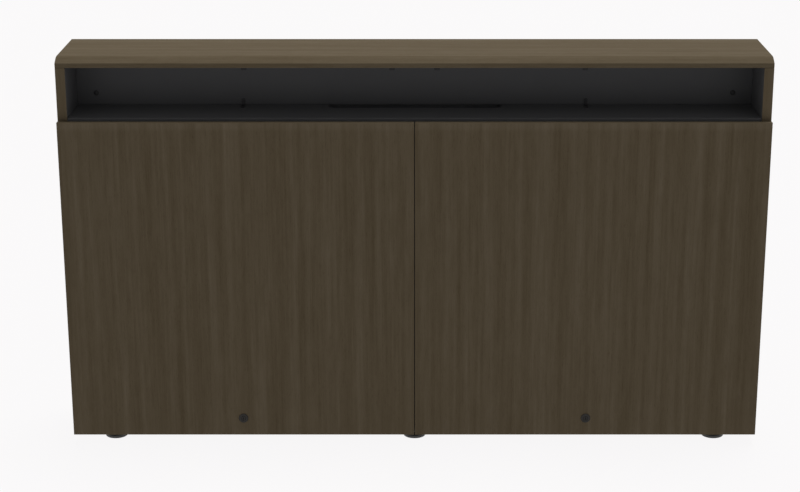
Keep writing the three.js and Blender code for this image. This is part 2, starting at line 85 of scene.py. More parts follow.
bpy.ops.object.select_all(action="DESELECT")
bpy.ops.object.camera_add(
    location=(0, case_front - CAMERA_BACK, CAMERA_HEIGHT),
    rotation=(math.radians(90 - LOOK_DOWN), 0, 0),
)
camera = bpy.context.object
camera.data.sensor_fit = "HORIZONTAL"
camera.data.sensor_width = SENSOR
camera.data.lens = SENSOR * FOCAL_LENGTH / PICTURE_WIDTH
camera.data.shift_x = -SHIFT_RIGHT / PICTURE_WIDTH
camera.data.shift_y = SHIFT_DOWN / PICTURE_WIDTH
camera.data.clip_end = FARTHEST
scene = bpy.context.scene
scene.camera = camera
scene.view_settings.view_transform = "Standard"
print("lens in mm:", round(camera.data.lens, 2))

# %% [markdown]
# A finish is a small net of shader nodes. Typing every link out hides what the net does, so short helpers
# add a node with its inputs already set or linked, start a finish with its one Principled shader, and
# feed that shader. Constant values go straight to the shader's sockets.

# %% Helpers for finishes
def node(tree, kind, inputs=None, **settings):
    """Add a shader node; inputs are numbers, colours or the sockets of other nodes."""
    made = tree.nodes.new(kind)
    for key, value in settings.items():
        setattr(made, key, value)
    for key, value in (inputs or {}).items():
        if isinstance(value, bpy.types.NodeSocket):
            tree.links.new(value, made.inputs[key])
        else:
            made.inputs[key].default_value = value
    return made


def maths(tree, operation, first, second=0.0, third=0.0):
    """One sum on two or three numbers."""
    return node(tree, "ShaderNodeMath", {0: first, 1: second, 2: third}, operation=operation).outputs[0]


def spread(tree, value, span, onto, **settings):
    """Map a number from one span onto another, and hold it at the ends."""
    ends = {"From Min": span[0], "From Max": span[1], "To Min": onto[0], "To Max": onto[1]}
    return node(tree, "ShaderNodeMapRange", {"Value": value, **ends}, **settings).outputs["Result"]


def new_finish(name, **constants):
    """A material with one Principled shader, its constants set by name."""
    material = bpy.data.materials.new(name)
    material.use_nodes = True
    shader = material.node_tree.nodes["Principled BSDF"]
    for key, value in constants.items():
        shader.inputs[key.replace("_", " ")].default_value = value
    return material, material.node_tree, shader


def feed(tree, shader, **sources):
    """Link sockets to the shader's inputs by name."""
    for key, source in sources.items():
        tree.links.new(source, shader.inputs[key.replace("_", " ")])


def ramp(tree, value, stops):
    """Turn a number into a colour through stops of (place, colour)."""
    made = node(tree, "ShaderNodeValToRGB", {"Fac": value})
    band = made.color_ramp
    while len(band.elements) < len(stops):
        band.elements.new(0.5)
    for element, (place, colour) in zip(band.elements, stops):
        element.position = place
        element.color = (*colour, 1)
    return made.outputs["Color"]


def stretched(tree, stretch, shift=(0, 0, 0)):
    """The piece's own coordinates, which draw a pattern out along the axes where stretch is small."""
    place = node(tree, "ShaderNodeTexCoord").outputs["Object"]
    return node(tree, "ShaderNodeMapping", {"Vector": place, "Location": shift, "Scale": stretch}).outputs[0]


def grain(tree, scale, detail=2.0, roughness=0.5, stretch=(1, 1, 1), shift=(0, 0, 0), distortion=0.0):
    """Noise on the piece's own coordinates."""
    inputs = {"Vector": stretched(tree, stretch, shift), "Scale": scale, "Detail": detail}
    inputs |= {"Roughness": roughness, "Distortion": distortion}
    return node(tree, "ShaderNodeTexNoise", inputs).outputs["Fac"]


def bump(tree, shader, height, strength, distance):
    """Raise the surface by a height, in metres at full strength."""
    made = node(tree, "ShaderNodeBump", {"Height": height, "Strength": strength, "Distance": distance})
    feed(tree, shader, Normal=made.outputs["Normal"])


# %% [markdown]
# The outside is a matt dark brown laminate with a straight, fine grain. A picture of wood would be the
# quick way, but it would repeat, and it needs a file. Here several layers are drawn out along the grain.
# A Wave texture with a wandering phase gives the stripes that follow each other about every 60 mm, as in
# veneer cut on the quarter. Noise adds streaks of 17 mm, shorter flecks, lines of 8 mm, fibres and short
# pores. Light streaks are greyer than dark ones, as on the real sheet. The fronts have no handles, so
# they are lifted and closed by their top edges; a narrow zone along those edges is painted lighter, a
# painted highlight. The eased edges get lighter copies of the laminate, a painted highlight too. One
# function makes every direction.

# %% Wood laminate
WOOD_MEAN = (0.0900, 0.0703, 0.0447)
WOOD_LIGHT = (1.43, 1.49, 1.63)
WOOD_DARK = (0.655, 0.615, 0.53)
WOOD_STRIPES = {"Scale": 5.1, "Distortion": 7.0, "Detail": 1.0, "Detail Scale": 1.6}
HIGHLIGHT_ZONE = 26 * MM
HIGHLIGHT_FADE = 16 * MM


def tinted(factors, lift):
    return [mean * factor * lift for mean, factor in zip(WOOD_MEAN, factors)]


def wood_laminate(name, along, across, lift=1.0, highlight_from=None):
    """Laminate with its grain along one axis and stripes across another.

    Lift lightens the whole finish. Above the height in the last argument the face is painted
    lighter, a painted highlight."""
    material, tree, shader = new_finish(name, Specular_IOR_Level=0.02)

    def drawn_out(share):
        return [share if axis == along else 1.0 for axis in "XYZ"]

    wave = {"Vector": stretched(tree, drawn_out(0.03)), **WOOD_STRIPES}
    stripes = node(tree, "ShaderNodeTexWave", wave, wave_type="BANDS", bands_direction=across).outputs["Fac"]
    streaks = grain(tree, 60, 2.0, 0.5, drawn_out(0.03), (3.1, 1.7, 0.4), 0.2)
    flecks = grain(tree, 80, 1.0, 0.5, drawn_out(0.2), (1.9, 4.4, 6.3))
    lines = grain(tree, 130, 2.0, 0.6, drawn_out(0.02), (0.3, 5.2, 2.9))
    fibres = grain(tree, 480, 1.0, 0.5, drawn_out(0.02), (4.6, 0.9, 8.8))
    pores = grain(tree, 1300, 1.0, 0.5, drawn_out(0.06), (7.7, 2.2, 4.1))
    tone = 0.5
    for layer, weight in ((stripes, 0.095), (streaks, 0.39), (flecks, 0.2), (lines, 0.28), (fibres, 0.16)):
        tone = maths(tree, "MULTIPLY_ADD", maths(tree, "SUBTRACT", layer, 0.5), weight, tone)
    tone = maths(tree, "SUBTRACT", tone, spread(tree, pores, (0.58, 0.70), (0.0, 0.16)))
    # Painted highlight: the face is painted lighter above a height near the top edges of the fronts.
    if highlight_from:
        place = node(tree, "ShaderNodeTexCoord").outputs["Object"]
        height = node(tree, "ShaderNodeSeparateXYZ", {"Vector": place}).outputs["Z"]
        fade = (highlight_from, highlight_from + HIGHLIGHT_FADE)
        painted_highlight = spread(tree, height, fade, (0.0, 0.13), interpolation_type="SMOOTHSTEP")
        tone = maths(tree, "ADD", tone, painted_highlight)
    shades = ((0.1, WOOD_DARK), (0.5, (1, 1, 1)), (0.9, WOOD_LIGHT))
    colour = ramp(tree, tone, [(stop, tinted(factors, lift)) for stop, factors in shades])
    feed(tree, shader, Base_Color=colour, Roughness=spread(tree, lines, (0.3, 0.7), (0.68, 0.8)))
    bump(tree, shader, tone, 0.25, 0.2 * MM)
    return material


# The fronts get a painted highlight along their top edges.
wood_fronts = wood_laminate("wood_fronts", "Z", "X", highlight_from=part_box("left_door")[1].z - HIGHLIGHT_ZONE)
wood_sides = wood_laminate("wood_sides", "Z", "Y")
wood_lengthwise = wood_laminate("wood_lengthwise", "X", "Y")
wood_crosswise = wood_laminate("wood_crosswise", "Y", "X")
wood_edges = wood_laminate("wood_edges", "Z", "X", 1.08)
# Lighter copies for the eased edges: a painted highlight.
rubbed_upright = wood_laminate("rubbed_upright", "Z", "X", 1.15)
edge_highlight_lengthwise = wood_laminate("edge_highlight_lengthwise", "X", "Y", 1.15)
print("laminate finishes:", [m.name for m in bpy.data.materials if m.name.startswith(("wood", "edge_highlight"))])

# %% [markdown]
# Inside, every board is faced in matt black laminate with a fine pebble, which looks a little dusty when
# seen along its face: the shader's sheen does that. Where a drill or a saw has opened a board, its
# chipboard core shows, so the walls of holes and grooves get a finish of pressed chips. The thin band
# glued to the front edge of the cubby floor is painted a shade darker than its faces, a painted shade.
# The walls of the cable slot are painted a much lighter grey, which is painted light in that dark slot.

# %% Black laminate and chipboard
BLACK_SHADES = ((0.044, 0.044, 0.046), (0.057, 0.057, 0.059))
CHIP_STOPS = [(0.32, (0.10, 0.062, 0.032)), (0.5, (0.26, 0.18, 0.10)), (0.68, (0.42, 0.31, 0.19))]


def black_laminate(name, lift=1.0):
    """Laminate with a cloudy tone and a fine pebble; lift makes it lighter or darker."""
    material, tree, shader = new_finish(
        name, Specular_IOR_Level=0.25, Sheen_Weight=0.05, Sheen_Roughness=0.5
    )
    cloud = grain(tree, 14, 3.0)
    pebble = grain(tree, 1500, 2.0, 0.6)
    tone = maths(tree, "ADD", maths(tree, "MULTIPLY", cloud, 0.35), maths(tree, "MULTIPLY", pebble, 0.65))
    dark, light = [[part * lift for part in shade] for shade in BLACK_SHADES]
    colour = ramp(tree, tone, [(0.3, dark), (0.7, light)])
    feed(tree, shader, Base_Color=colour, Roughness=maths(tree, "MULTIPLY_ADD", cloud, 0.06, 0.44))
    bump(tree, shader, pebble, 0.3, 0.2 * MM)
    return material


def chipboard():
    material, tree, shader = new_finish("chipboard_core", Specular_IOR_Level=0.2, Roughness=0.9)
    chips = grain(tree, 420, 4.0, 0.7)
    feed(tree, shader, Base_Color=ramp(tree, chips, CHIP_STOPS))
    bump(tree, shader, chips, 0.6, 0.4 * MM)
    return material


black_board = black_laminate("black_board")
# A darker copy for the front edge of the cubby floor: painted shade.
painted_shade_band = black_laminate("painted_shade_band", 0.8)
# A much lighter copy for the walls of the cable slot: painted light in the slot's shade.
painted_light_slot = black_laminate("painted_light_slot", 2.9)
chipboard_core = chipboard()
print("black_board, painted_shade_band, painted_light_slot and chipboard_core are ready")

# %% [markdown]
# The small hardware has four metals and two mouldings: satin black paint on the angles and hinges, bright
# zinc on screws, pegs and catches, dark nickel on the locks, black enamel on the feet, moulded black caps
# and clear soft bumpers. Each could have a net of its own, but all are a coat whose tone and gloss drift
# a little: paint has a faint orange peel, zinc a cloudy passivation, nickel a fine brushing. So one net
# with other numbers does.

# %% Hardware finishes
def metal_finish(name, dark, light, metallic, rough, scale, stretch=(1, 1, 1), gloss=0.5):
    """A coat whose tone and gloss drift over the surface."""
    material, tree, shader = new_finish(name, Metallic=metallic, Specular_IOR_Level=gloss)
    drift = grain(tree, scale, 3.0, 0.6, stretch)
    colour = ramp(tree, drift, [(0.3, dark), (0.7, light)])
    sheen = spread(tree, drift, (0.3, 0.7), (rough - 0.07, rough + 0.07))
    feed(tree, shader, Base_Color=colour, Roughness=sheen)
    bump(tree, shader, drift, 0.4, 0.03 * MM)
    return material


satin_paint = metal_finish(
    "satin_paint", (0.010, 0.010, 0.011), (0.017, 0.017, 0.018), 0.0, 0.45, 900, gloss=0.3
)
bright_zinc = metal_finish("bright_zinc", (0.46, 0.47, 0.48), (0.64, 0.64, 0.63), 1.0, 0.34, 160)
dark_nickel = metal_finish(
    "dark_nickel", (0.019, 0.018, 0.017), (0.030, 0.028, 0.026), 0.85, 0.36, 500, (1, 1, 0.1)
)
foot_enamel = metal_finish(
    "foot_enamel", (0.024, 0.024, 0.022), (0.036, 0.035, 0.033), 0.0, 0.42, 420, gloss=0.35
)
moulded_black = metal_finish(
    "moulded_black", (0.021, 0.021, 0.021), (0.031, 0.031, 0.031), 0.0, 0.5, 1200, gloss=0.17
)
clear_bump, tree, shader = new_finish("clear_bump", Transmission_Weight=0.6, IOR=1.48, Roughness=0.3)
haze = grain(tree, 300)
feed(tree, shader, Base_Color=ramp(tree, haze, [(0.3, (0.62, 0.62, 0.58)), (0.7, (0.74, 0.74, 0.71))]))
print("finishes in all:", len(bpy.data.materials))

# %% [markdown]
# Blender's operators act on whatever is selected, and the CAD nodes are still selected after loading. So
# every step first lets go of everything, and then takes hold of one piece. Edges to be bevelled are
# chosen by where they are or which way they run, as a hand would pick them.

# %% Helpers for taking hold of a piece
def let_go():
    """Leave edit mode and deselect everything."""
    if bpy.context.mode != "OBJECT":
        bpy.ops.object.mode_set(mode="OBJECT")
    bpy.ops.object.select_all(action="DESELECT")


def take(*pieces):
    """Select only these pieces; the first is the active one."""
    let_go()
    for piece in pieces:
        piece.select_set(True)
    bpy.context.view_layer.objects.active = pieces[0]


def settle(piece, name):
    """Put a piece's place, turn and size into its mesh, so its object sits at the origin."""
    take(piece)
    bpy.ops.object.transform_apply(location=True, rotation=True, scale=True)
    piece.name = name
    piece.data.name = name
    return piece


def bevel_edges(piece, wanted, radius, rows, **settings):
    """Bevel the edges whose two ends pass a test."""
    take(piece)
    bpy.ops.object.mode_set(mode="EDIT")
    bpy.ops.mesh.select_mode(type="EDGE")
    bpy.ops.mesh.select_all(action="DESELECT")
    bpy.ops.object.mode_set(mode="OBJECT")
    points = piece.data.vertices
    for edge in piece.data.edges:
        edge.select = wanted(*(points[i].co for i in edge.vertices))
    bpy.ops.object.mode_set(mode="EDIT")
    bpy.ops.mesh.bevel(offset=radius, segments=rows, affect="EDGES", **settings)
    bpy.ops.object.mode_set(mode="OBJECT")
    return piece


# %% [markdown]
# Boards are sawn blocks, so each starts as a cube at the size of its solid. Their edges are eased by
# about a millimetre with an applied Bevel modifier: a dead sharp edge never catches the light and looks
# like paper. Weighted normals then keep the large faces flat to the eye. Cuts are made by Boolean, like a
# router or a drill, whose bit is a round bar.

# %% Helpers for boards
LYING = {"X": (0, math.pi / 2, 0), "Y": (math.pi / 2, 0, 0), "Z": (0, 0, 0)}
SHARP = 35


def block(name, low, high):
    """A sawn block between two corners."""
    let_go()
    low, high = Vector(low), Vector(high)
    bpy.ops.mesh.primitive_cube_add(size=1, calc_uvs=False, location=(low + high) / 2, scale=high - low)
    return settle(bpy.context.object, name)


def round_bar(name, radius, length, middle, axis, sides):
    """A bar along an axis, round or with a few flat sides."""
    let_go()
    bpy.ops.mesh.primitive_cylinder_add(
        vertices=sides, radius=radius, depth=length, calc_uvs=False, location=middle, rotation=LYING[axis]
    )
    return settle(bpy.context.object, name)


def apply_modifier(piece, kind, **settings):
    """Add a modifier with its settings and apply it at once."""
    take(piece)
    modifier = piece.modifiers.new(kind.lower(), kind)
    for key, value in settings.items():
        setattr(modifier, key, value)
    bpy.ops.object.modifier_apply(modifier=modifier.name)
    return piece


def ease(piece, radius, rows=3):
    """Round every sharp edge."""
    return apply_modifier(
        piece, "BEVEL", width=radius, segments=rows, limit_method="ANGLE", angle_limit=math.radians(SHARP)
    )


def carve(piece, operation, *tools):
    """Cut shapes away from a piece or weld them on; the tools are used up."""
    for tool in tools:
        apply_modifier(piece, "BOOLEAN", operation=operation, solver="EXACT", object=tool)
        bpy.data.objects.remove(tool)
    return piece


def cut(piece, *tools):
    return carve(piece, "DIFFERENCE", *tools)


def clad(piece, finishes, rule=None, sharp=SHARP):
    """Shade round forms smooth and flat faces flat, and give every face its finish.

    The rule turns a face's middle and normal into a place in the list of finishes."""
    take(piece)
    bpy.ops.object.shade_smooth_by_angle(angle=math.radians(sharp))
    apply_modifier(piece, "WEIGHTED_NORMAL", keep_sharp=True)
    piece.data.materials.clear()
    for finish in finishes:
        piece.data.materials.append(finish)
    for face in piece.data.polygons:
        face.material_index = rule(face.center, face.normal) if rule else 0
    return piece


def seat(piece, body, node_name):
    """The piece rides on a body and stands in for a CAD node, which is hidden."""
    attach(piece, body)
    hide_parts(node_name)
    return piece


# %% [markdown]
# The top is one thick board with a bevel along its front. A Bevel operator cuts the same amount from both
# faces, and this slope is longer than it is deep, so a bisecting plane takes the corner off. The laminate
# is formed over the bevel while hot, so the bend from the flat into the slope is a wide, soft one: its
# edge is picked by its place and bevelled round before the others are eased. The outside is wood grain along
# the length, the ends show their edge band, and the underside is black, with a groove for the back board.

# %% Bevelled top
BEVEL_RUN = 26 * MM
BEVEL_DROP = 13 * MM
UPPER_BEND = 9 * MM
LOWER_BEND = 2.2 * MM
BEND_ROWS = 8
BOARD_EASE = 1.0 * MM
TOUCH = 0.02 * MM
PLAY = 0.3 * MM
OVERRUN = 10 * MM
GROOVE_ZONE = 8 * MM
GROOVE_END = 900 * MM
FACING = 0.7


def near(a, b):
    return abs(a - b) < TOUCH


low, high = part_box("top_panel")
back_low, back_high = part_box("rear_panel")
bevelled_top = block("bevelled_top", low, high)
bpy.ops.object.mode_set(mode="EDIT")
bpy.ops.mesh.select_all(action="SELECT")
bpy.ops.mesh.bisect(
    plane_co=(0, low.y, high.z - BEVEL_DROP),
    plane_no=Vector((0, -BEVEL_DROP, BEVEL_RUN)).normalized(),
    use_fill=True,
    clear_outer=True,
)
bends = [(UPPER_BEND, low.y + BEVEL_RUN, high.z), (LOWER_BEND, low.y, high.z - BEVEL_DROP)]
for bend, bend_y, bend_z in bends:
    bevel_edges(
        bevelled_top,
        lambda *ends: all(near(end.y, bend_y) and near(end.z, bend_z) for end in ends),
        bend,
        BEND_ROWS,
    )
ease(bevelled_top, BOARD_EASE)


def groove(name, span_x, span_z):
    """A tool for the groove that holds the back board."""
    return block(name, (span_x[0], back_low.y - PLAY, span_z[0]), (span_x[1], back_high.y + PLAY, span_z[1]))


cut(bevelled_top, groove("top_groove", (back_low.x, back_high.x), (low.z - OVERRUN, back_high.z)))


def top_rule(middle, normal):
    if near(middle.z, low.z):
        return 1
    by_groove = abs(middle.y - (back_low.y + back_high.y) / 2) < GROOVE_ZONE
    if by_groove and middle.z < back_high.z and normal.z < FACING:
        return 1 if abs(middle.x) > GROOVE_END else 3
    return 2 if abs(normal.x) > FACING else 0


clad(bevelled_top, [wood_lengthwise, black_board, wood_crosswise, chipboard_core], top_rule)
seat(bevelled_top, "case", "top_panel")
print("bevelled_top:", len(bevelled_top.data.polygons), "faces")

# %% [markdown]
# The two sides carry the case. Outside they have upright grain that also wraps the front edge; inside
# they are black, with two rows of drilled holes for shelf pegs and a groove for the back board. An array
# could space the holes, but a copy is plainer: one drill bit is modelled and copied up the row, as a
# drilling jig does it.

# %% Case sides
PEG_HOLE_RADIUS = 2.8 * MM
PEG_HOLE_DEPTH = 8.3 * MM
PEG_HOLE_PITCH = 64 * MM
PEG_HOLES_BELOW = 2
PEG_HOLES_ABOVE = 2
SKIN = 1.2 * MM
SQUARE = 0.98
LEVEL = 0.9
ROWS = ("front", "rear")


def middle_of(node_name):
    corner_low, corner_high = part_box(node_name)
    return (corner_low + corner_high) / 2


def copy_of(piece, name, shift):
    """A copy with its own mesh, moved by a shift."""
    take(piece)
    bpy.ops.object.duplicate(linked=False)
    twin = bpy.context.object
    bpy.ops.transform.translate(value=shift)
    return settle(twin, name)


def joined(name, pieces):
    take(*pieces)
    bpy.ops.object.join()
    return settle(bpy.context.object, name)


def peg_drill(name, mouth_x, pins):
    """Drill bits for the two rows of holes in one face of a board."""
    bits = []
    for row in ROWS:
        place = middle_of(f"{pins}_{row}")
        lowest = (mouth_x, place.y, place.z - PEG_HOLES_BELOW * PEG_HOLE_PITCH)
        bit = round_bar(name, PEG_HOLE_RADIUS, 2 * PEG_HOLE_DEPTH, lowest, "X", 24)
        bits.append(bit)
        for step in range(1, PEG_HOLES_BELOW + PEG_HOLES_ABOVE + 1):
            bits.append(copy_of(bit, name, (0, 0, step * PEG_HOLE_PITCH)))
    return joined(name, bits)


for side, sign in SIDES.items():
    low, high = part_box(f"{side}_side_panel")
    inner = low.x if sign > 0 else high.x
    board = ease(block(f"{side}_case_side", low, high), BOARD_EASE)
    reach = sorted((inner - sign * OVERRUN, back_high.x * sign))
    cut(board, peg_drill("side_bits", inner, f"{side}_shelf_pin_outer"))
    cut(board, groove("side_groove", reach, (low.z - OVERRUN, high.z + OVERRUN)))

    def side_rule(middle, normal):
        if near(middle.x, inner):
            return 1
        from_edges = min(abs(middle.x - low.x), abs(middle.x - high.x), middle.y - low.y, high.y - middle.y)
        if from_edges > SKIN and abs(normal.z) < LEVEL:
            return 2
        if abs(normal.z) > FACING:
            return 3
        # Eased edges take the lighter copy, a painted highlight.
        if max(abs(part) for part in normal) < SQUARE:
            return 4
        return 5 if normal.y < 0 else 0

    finishes = [wood_sides, black_board, chipboard_core, wood_crosswise, rubbed_upright, wood_edges]
    clad(board, finishes, side_rule)
    seat(board, "case", f"{side}_side_panel")
    print(board.name, len(board.data.polygons), "faces")

# %% [markdown]
# The bottom board, the divider between the bays, the two loose shelves and the cubby's back lining are
# plain black boards. They share one recipe: a block with eased edges, cut where something goes in. The
# bottom board takes the six foot sockets from below, and the divider has peg holes on both faces.

# %% Bottom board and divider
SOCKET_HOLE_RADIUS = 8.3 * MM
FEET = [f"{row}_{column}" for row in ROWS for column in ("left", "center", "right")]

low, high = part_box("bottom_panel")
case_bottom = ease(block("case_bottom", low, high), BOARD_EASE)
socket_bits = []
for foot in FEET:
    place = middle_of(f"{foot}_insert")
    length = 2 * (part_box(f"{foot}_insert")[1].z - low.z + PLAY)
    bit = round_bar("socket_bit", SOCKET_HOLE_RADIUS, length, (place.x, place.y, low.z), "Z", 32)
    socket_bits.append(bit)
cut(case_bottom, joined("socket_bits", socket_bits))
whole_length = (low.x - OVERRUN, high.x + OVERRUN)
cut(case_bottom, groove("bottom_groove", whole_length, (back_low.z, high.z + OVERRUN)))
bottom_top = high.z


def opened(low, high):
    """A rule for boards: one for faces inside the block, such as the walls of holes, nought elsewhere."""

    def rule(middle, normal):
        depth = min(min(middle[i] - low[i], high[i] - middle[i]) for i in range(3))
        return 1 if depth > SKIN else 0

    return rule


clad(case_bottom, [black_board, chipboard_core], opened(low, high))
seat(case_bottom, "case", "bottom_panel")

low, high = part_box("center_partition")
bay_divider = ease(block("bay_divider", low, high), BOARD_EASE)
for side, sign in SIDES.items():
    mouth_x = high.x if sign > 0 else low.x
    cut(bay_divider, peg_drill("divider_bits", mouth_x, f"{side}_shelf_pin_inner"))
clad(bay_divider, [black_board, chipboard_core], opened(low, high))
seat(bay_divider, "case", "center_partition")
print("bottom and divider:", len(case_bottom.data.polygons), len(bay_divider.data.polygons), "faces")

# %% [markdown]
# The cubby's floor has a long slot with round corners for cables, partly in front of the back lining and
# partly behind it. The tool for the slot is a block whose four upright edges are bevelled round. After
# the cut, the rim of the slot is picked by its place and bevelled, because fingers and cables run
# over it.

# %% Cubby floor with its cable slot
SLOT_LENGTH = 455 * MM
SLOT_FRONT = 38 * MM
SLOT_BEHIND = 25 * MM
SLOT_CORNER = 20 * MM
RIM_EASE = 2.0 * MM
RIM_ROWS = 4
THIN_EASE = 0.5 * MM


def round_ended(tool, axis, radius, rows):
    """Bevel round the edges of a block that run along one axis."""

    def runs_along(start, end):
        line = end - start
        return abs(line[axis]) > 0.99 * line.length

    bevel_edges(tool, runs_along, radius, rows, profile=0.5, clamp_overlap=False)
    bpy.ops.object.mode_set(mode="EDIT")
    bpy.ops.mesh.remove_doubles(threshold=TOUCH)
    bpy.ops.object.mode_set(mode="OBJECT")
    return tool


def on_rims(openings, through):
    """A test for the edges round openings that go through a board along one axis."""

    def within(end, low, high):
        return all(low[i] - TOUCH <= end[i] <= high[i] + TOUCH for i in range(3) if i != through)

    def on_a_rim(start, end):
        level = near(start[through], end[through])
        return level and any(within(start, *box) and within(end, *box) for box in openings)

    return on_a_rim


low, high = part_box("cubby_shelf")
lining_low, lining_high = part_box("cubby_back_panel")
slot_low = Vector((-SLOT_LENGTH / 2, lining_low.y - SLOT_FRONT, low.z - OVERRUN))
slot_high = Vector((SLOT_LENGTH / 2, lining_high.y + SLOT_BEHIND, high.z + OVERRUN))
cubby_floor = ease(block("cubby_floor", low, high), BOARD_EASE)
cut(cubby_floor, round_ended(block("slot_tool", slot_low, slot_high), 2, SLOT_CORNER, 10))
in_slot = opened(low, high)


# The front edge of the floor takes the painted shade, the walls of the slot the painted light.
def floor_rule(middle, normal):
    if middle.y < low.y + BOARD_EASE:
        return 1
    return 2 * in_slot(middle, normal)


bevel_edges(cubby_floor, on_rims([(slot_low, slot_high)], 2), RIM_EASE, RIM_ROWS)
clad(cubby_floor, [black_board, painted_shade_band, painted_light_slot], floor_rule)
seat(cubby_floor, "case", "cubby_shelf")
cubby_lining = ease(block("cubby_lining", lining_low, lining_high), THIN_EASE)
clad(cubby_lining, [black_board])
seat(cubby_lining, "case", "cubby_back_panel")
print("cubby_floor:", len(cubby_floor.data.polygons), "faces")

# %% [markdown]
# A thin back board slides into grooves all round and closes the bays. Each bay has one cable port, an
# opening with full round ends. It could be drilled at both ends and sawn between, but the round-ended
# tool of the slot does it in one cut when it is laid on its side.

# %% Back board with cable ports
PORT_LENGTH = 160 * MM
PORT_HEIGHT = 60 * MM
PORT_RISE = 90 * MM
PORT_EASE = 1.2 * MM
FULL_ROUND = 0.4999
port_z = bottom_top + PORT_RISE
back_board = ease(block("back_board", back_low, back_high), THIN_EASE)
ports = []
for sign in SIDES.values():
    port_x = sign * abs(middle_of("right_lock_plug").x)
    size = Vector((PORT_LENGTH / 2, 2 * OVERRUN, PORT_HEIGHT / 2))
    place = Vector((port_x, back_low.y, port_z))
    ports.append((place - size, place + size))
    cut(back_board, round_ended(block("port_tool", *ports[-1]), 1, FULL_ROUND * PORT_HEIGHT, 14))
bevel_edges(back_board, on_rims(ports, 1), PORT_EASE, RIM_ROWS)
clad(back_board, [black_board])
seat(back_board, "case", "rear_panel")
print("back_board:", len(back_board.data.polygons), "faces")

# %% [markdown]
# The loose shelves have a black edge band round all four edges. It could be glued on as strips of its
# own, but no seam shows at this size, so their edges are only a little rounder than those of the fixed
# boards.

# %% Loose shelves
SHELF_EASE = 1.5 * MM
for side in SIDES:
    low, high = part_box(f"{side}_adjustable_shelf")
    shelf = ease(block(f"{side}_bay_shelf", low, high), SHELF_EASE)
    clad(shelf, [black_board])
    seat(shelf, "case", f"{side}_adjustable_shelf")
    print(shelf.name, len(shelf.data.polygons), "faces")

# %% [markdown]
# Each front is one wide board with upright grain, black on the back. A rebate along its top back edge
# makes room for the hinge, and a hole low in the middle takes the lock. The right front is modelled first
# and copied to the left; the grain is read from the place in the room, so the copy gets its own figure.

# %% Lift-up fronts
REBATE_FRONT = 13.4 * MM
REBATE_DEPTH = 6.9 * MM
LOCK_HOLE_RADIUS = 9.8 * MM
LOCK_BIT_LENGTH = 60 * MM
FRONT_EASE = 1.2 * MM
LEANING = 0.1


def seat_pair(piece, shift, node_end, body_end):
    """Copy a right-hand piece to the left and seat both, on the case if no body is named."""
    twin = copy_of(piece, piece.name.replace("right", "left"), shift)
    for side, one in (("right", piece), ("left", twin)):
        seat(one, f"{side}_{body_end}" if body_end else "case", f"{side}_{node_end}")


low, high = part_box("right_door")
lock_place = middle_of("right_lock_plug")
right_front = ease(block("right_lift_front", low, high), FRONT_EASE)
rebate_low = Vector((low.x - OVERRUN, low.y + REBATE_FRONT, high.z - REBATE_DEPTH))
rebate = block("rebate", rebate_low, high + Vector((OVERRUN, OVERRUN, OVERRUN)))
lock_mouth = (lock_place.x, low.y, lock_place.z)
cut(right_front, rebate, round_bar("lock_bit", LOCK_HOLE_RADIUS, LOCK_BIT_LENGTH, lock_mouth, "Y", 48))


def front_rule(middle, normal):
    in_rebate = middle.y > rebate_low.y - TOUCH and middle.z > rebate_low.z - TOUCH
    if near(middle.y, high.y) or in_rebate:
        return 1
    if abs(normal.z) > SQUARE:
        return 2
    # Eased edges take the lighter copies, a painted highlight.
    if max(abs(part) for part in normal) < SQUARE:
        return 4 if abs(normal.z) > LEANING else 3
    return 0


finishes = [wood_fronts, black_board, wood_lengthwise, rubbed_upright, edge_highlight_lengthwise]
clad(right_front, finishes, front_rule)
seat_pair(right_front, (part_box("left_door")[0].x - low.x, 0, 0), "door", "front")
print("fronts:", len(right_front.data.polygons), "faces each")

# %% [markdown]
# A continuous hinge is two strips of thin steel, notched along one edge and rolled round a rod, so that
# their knuckles stand between each other like fingers. It could be built from hundreds of small rings. It
# is simpler, and closer to how it is made, to draw the section of a rolled strip, carry it along, and
# then cut the notches. A drawn line starts as a small plane whose corners are merged into one point.

# %% Helpers for drawn sections
def drawn_line(points):
    """Draw a line from point to point, and stay in edit mode with all of it selected."""
    let_go()
    bpy.ops.mesh.primitive_plane_add(size=1 * MM, calc_uvs=False, location=points[0])
    piece = bpy.context.object
    bpy.ops.object.mode_set(mode="EDIT")
    bpy.ops.mesh.select_mode(type="VERT")
    bpy.ops.mesh.merge(type="CENTER")
    for start, end in zip(points, points[1:]):
        bpy.ops.mesh.extrude_vertices_move(TRANSFORM_OT_translate={"value": end - start})
    bpy.ops.mesh.select_all(action="SELECT")
    return piece


def drawn_section(name, outline, start, end):
    """Fill a (y, z) outline and extrude it along X from start to end."""
    piece = drawn_line([Vector((start, *corner)) for corner in outline])
    bpy.ops.mesh.edge_face_add()
    bpy.ops.mesh.extrude_region_move(TRANSFORM_OT_translate={"value": (end - start, 0, 0)})
    bpy.ops.mesh.select_all(action="SELECT")
    bpy.ops.mesh.normals_make_consistent(inside=False)
    return settle(piece, name)


def arc(centre, radius, start, end, steps):
    """Points on an arc in the (y, z) plane, angles in degrees from +Y towards +Z."""
    turn = (end - start) / steps
    angles = [math.radians(start + turn * i) for i in range(steps + 1)]
    return [(centre[0] + radius * math.cos(a), centre[1] + radius * math.sin(a)) for a in angles]


# %% [markdown]
# Turned things, such as screws, pegs, locks and feet, are drawn as half an outline and spun round their
# axis. A stack of cylinders could stand in for them, but it would have no soft edges. The ends of the
# spin meet, so doubled corners are merged, and the normals are then made to look outwards.

# %% Helpers for turned pieces
AXES = {"X": Vector((1, 0, 0)), "Y": Vector((0, 1, 0)), "Z": Vector((0, 0, 1))}
ACROSS = {"X": Vector((0, 0, 1)), "Y": Vector((1, 0, 0)), "Z": Vector((1, 0, 0))}
MERGE = 0.002 * MM


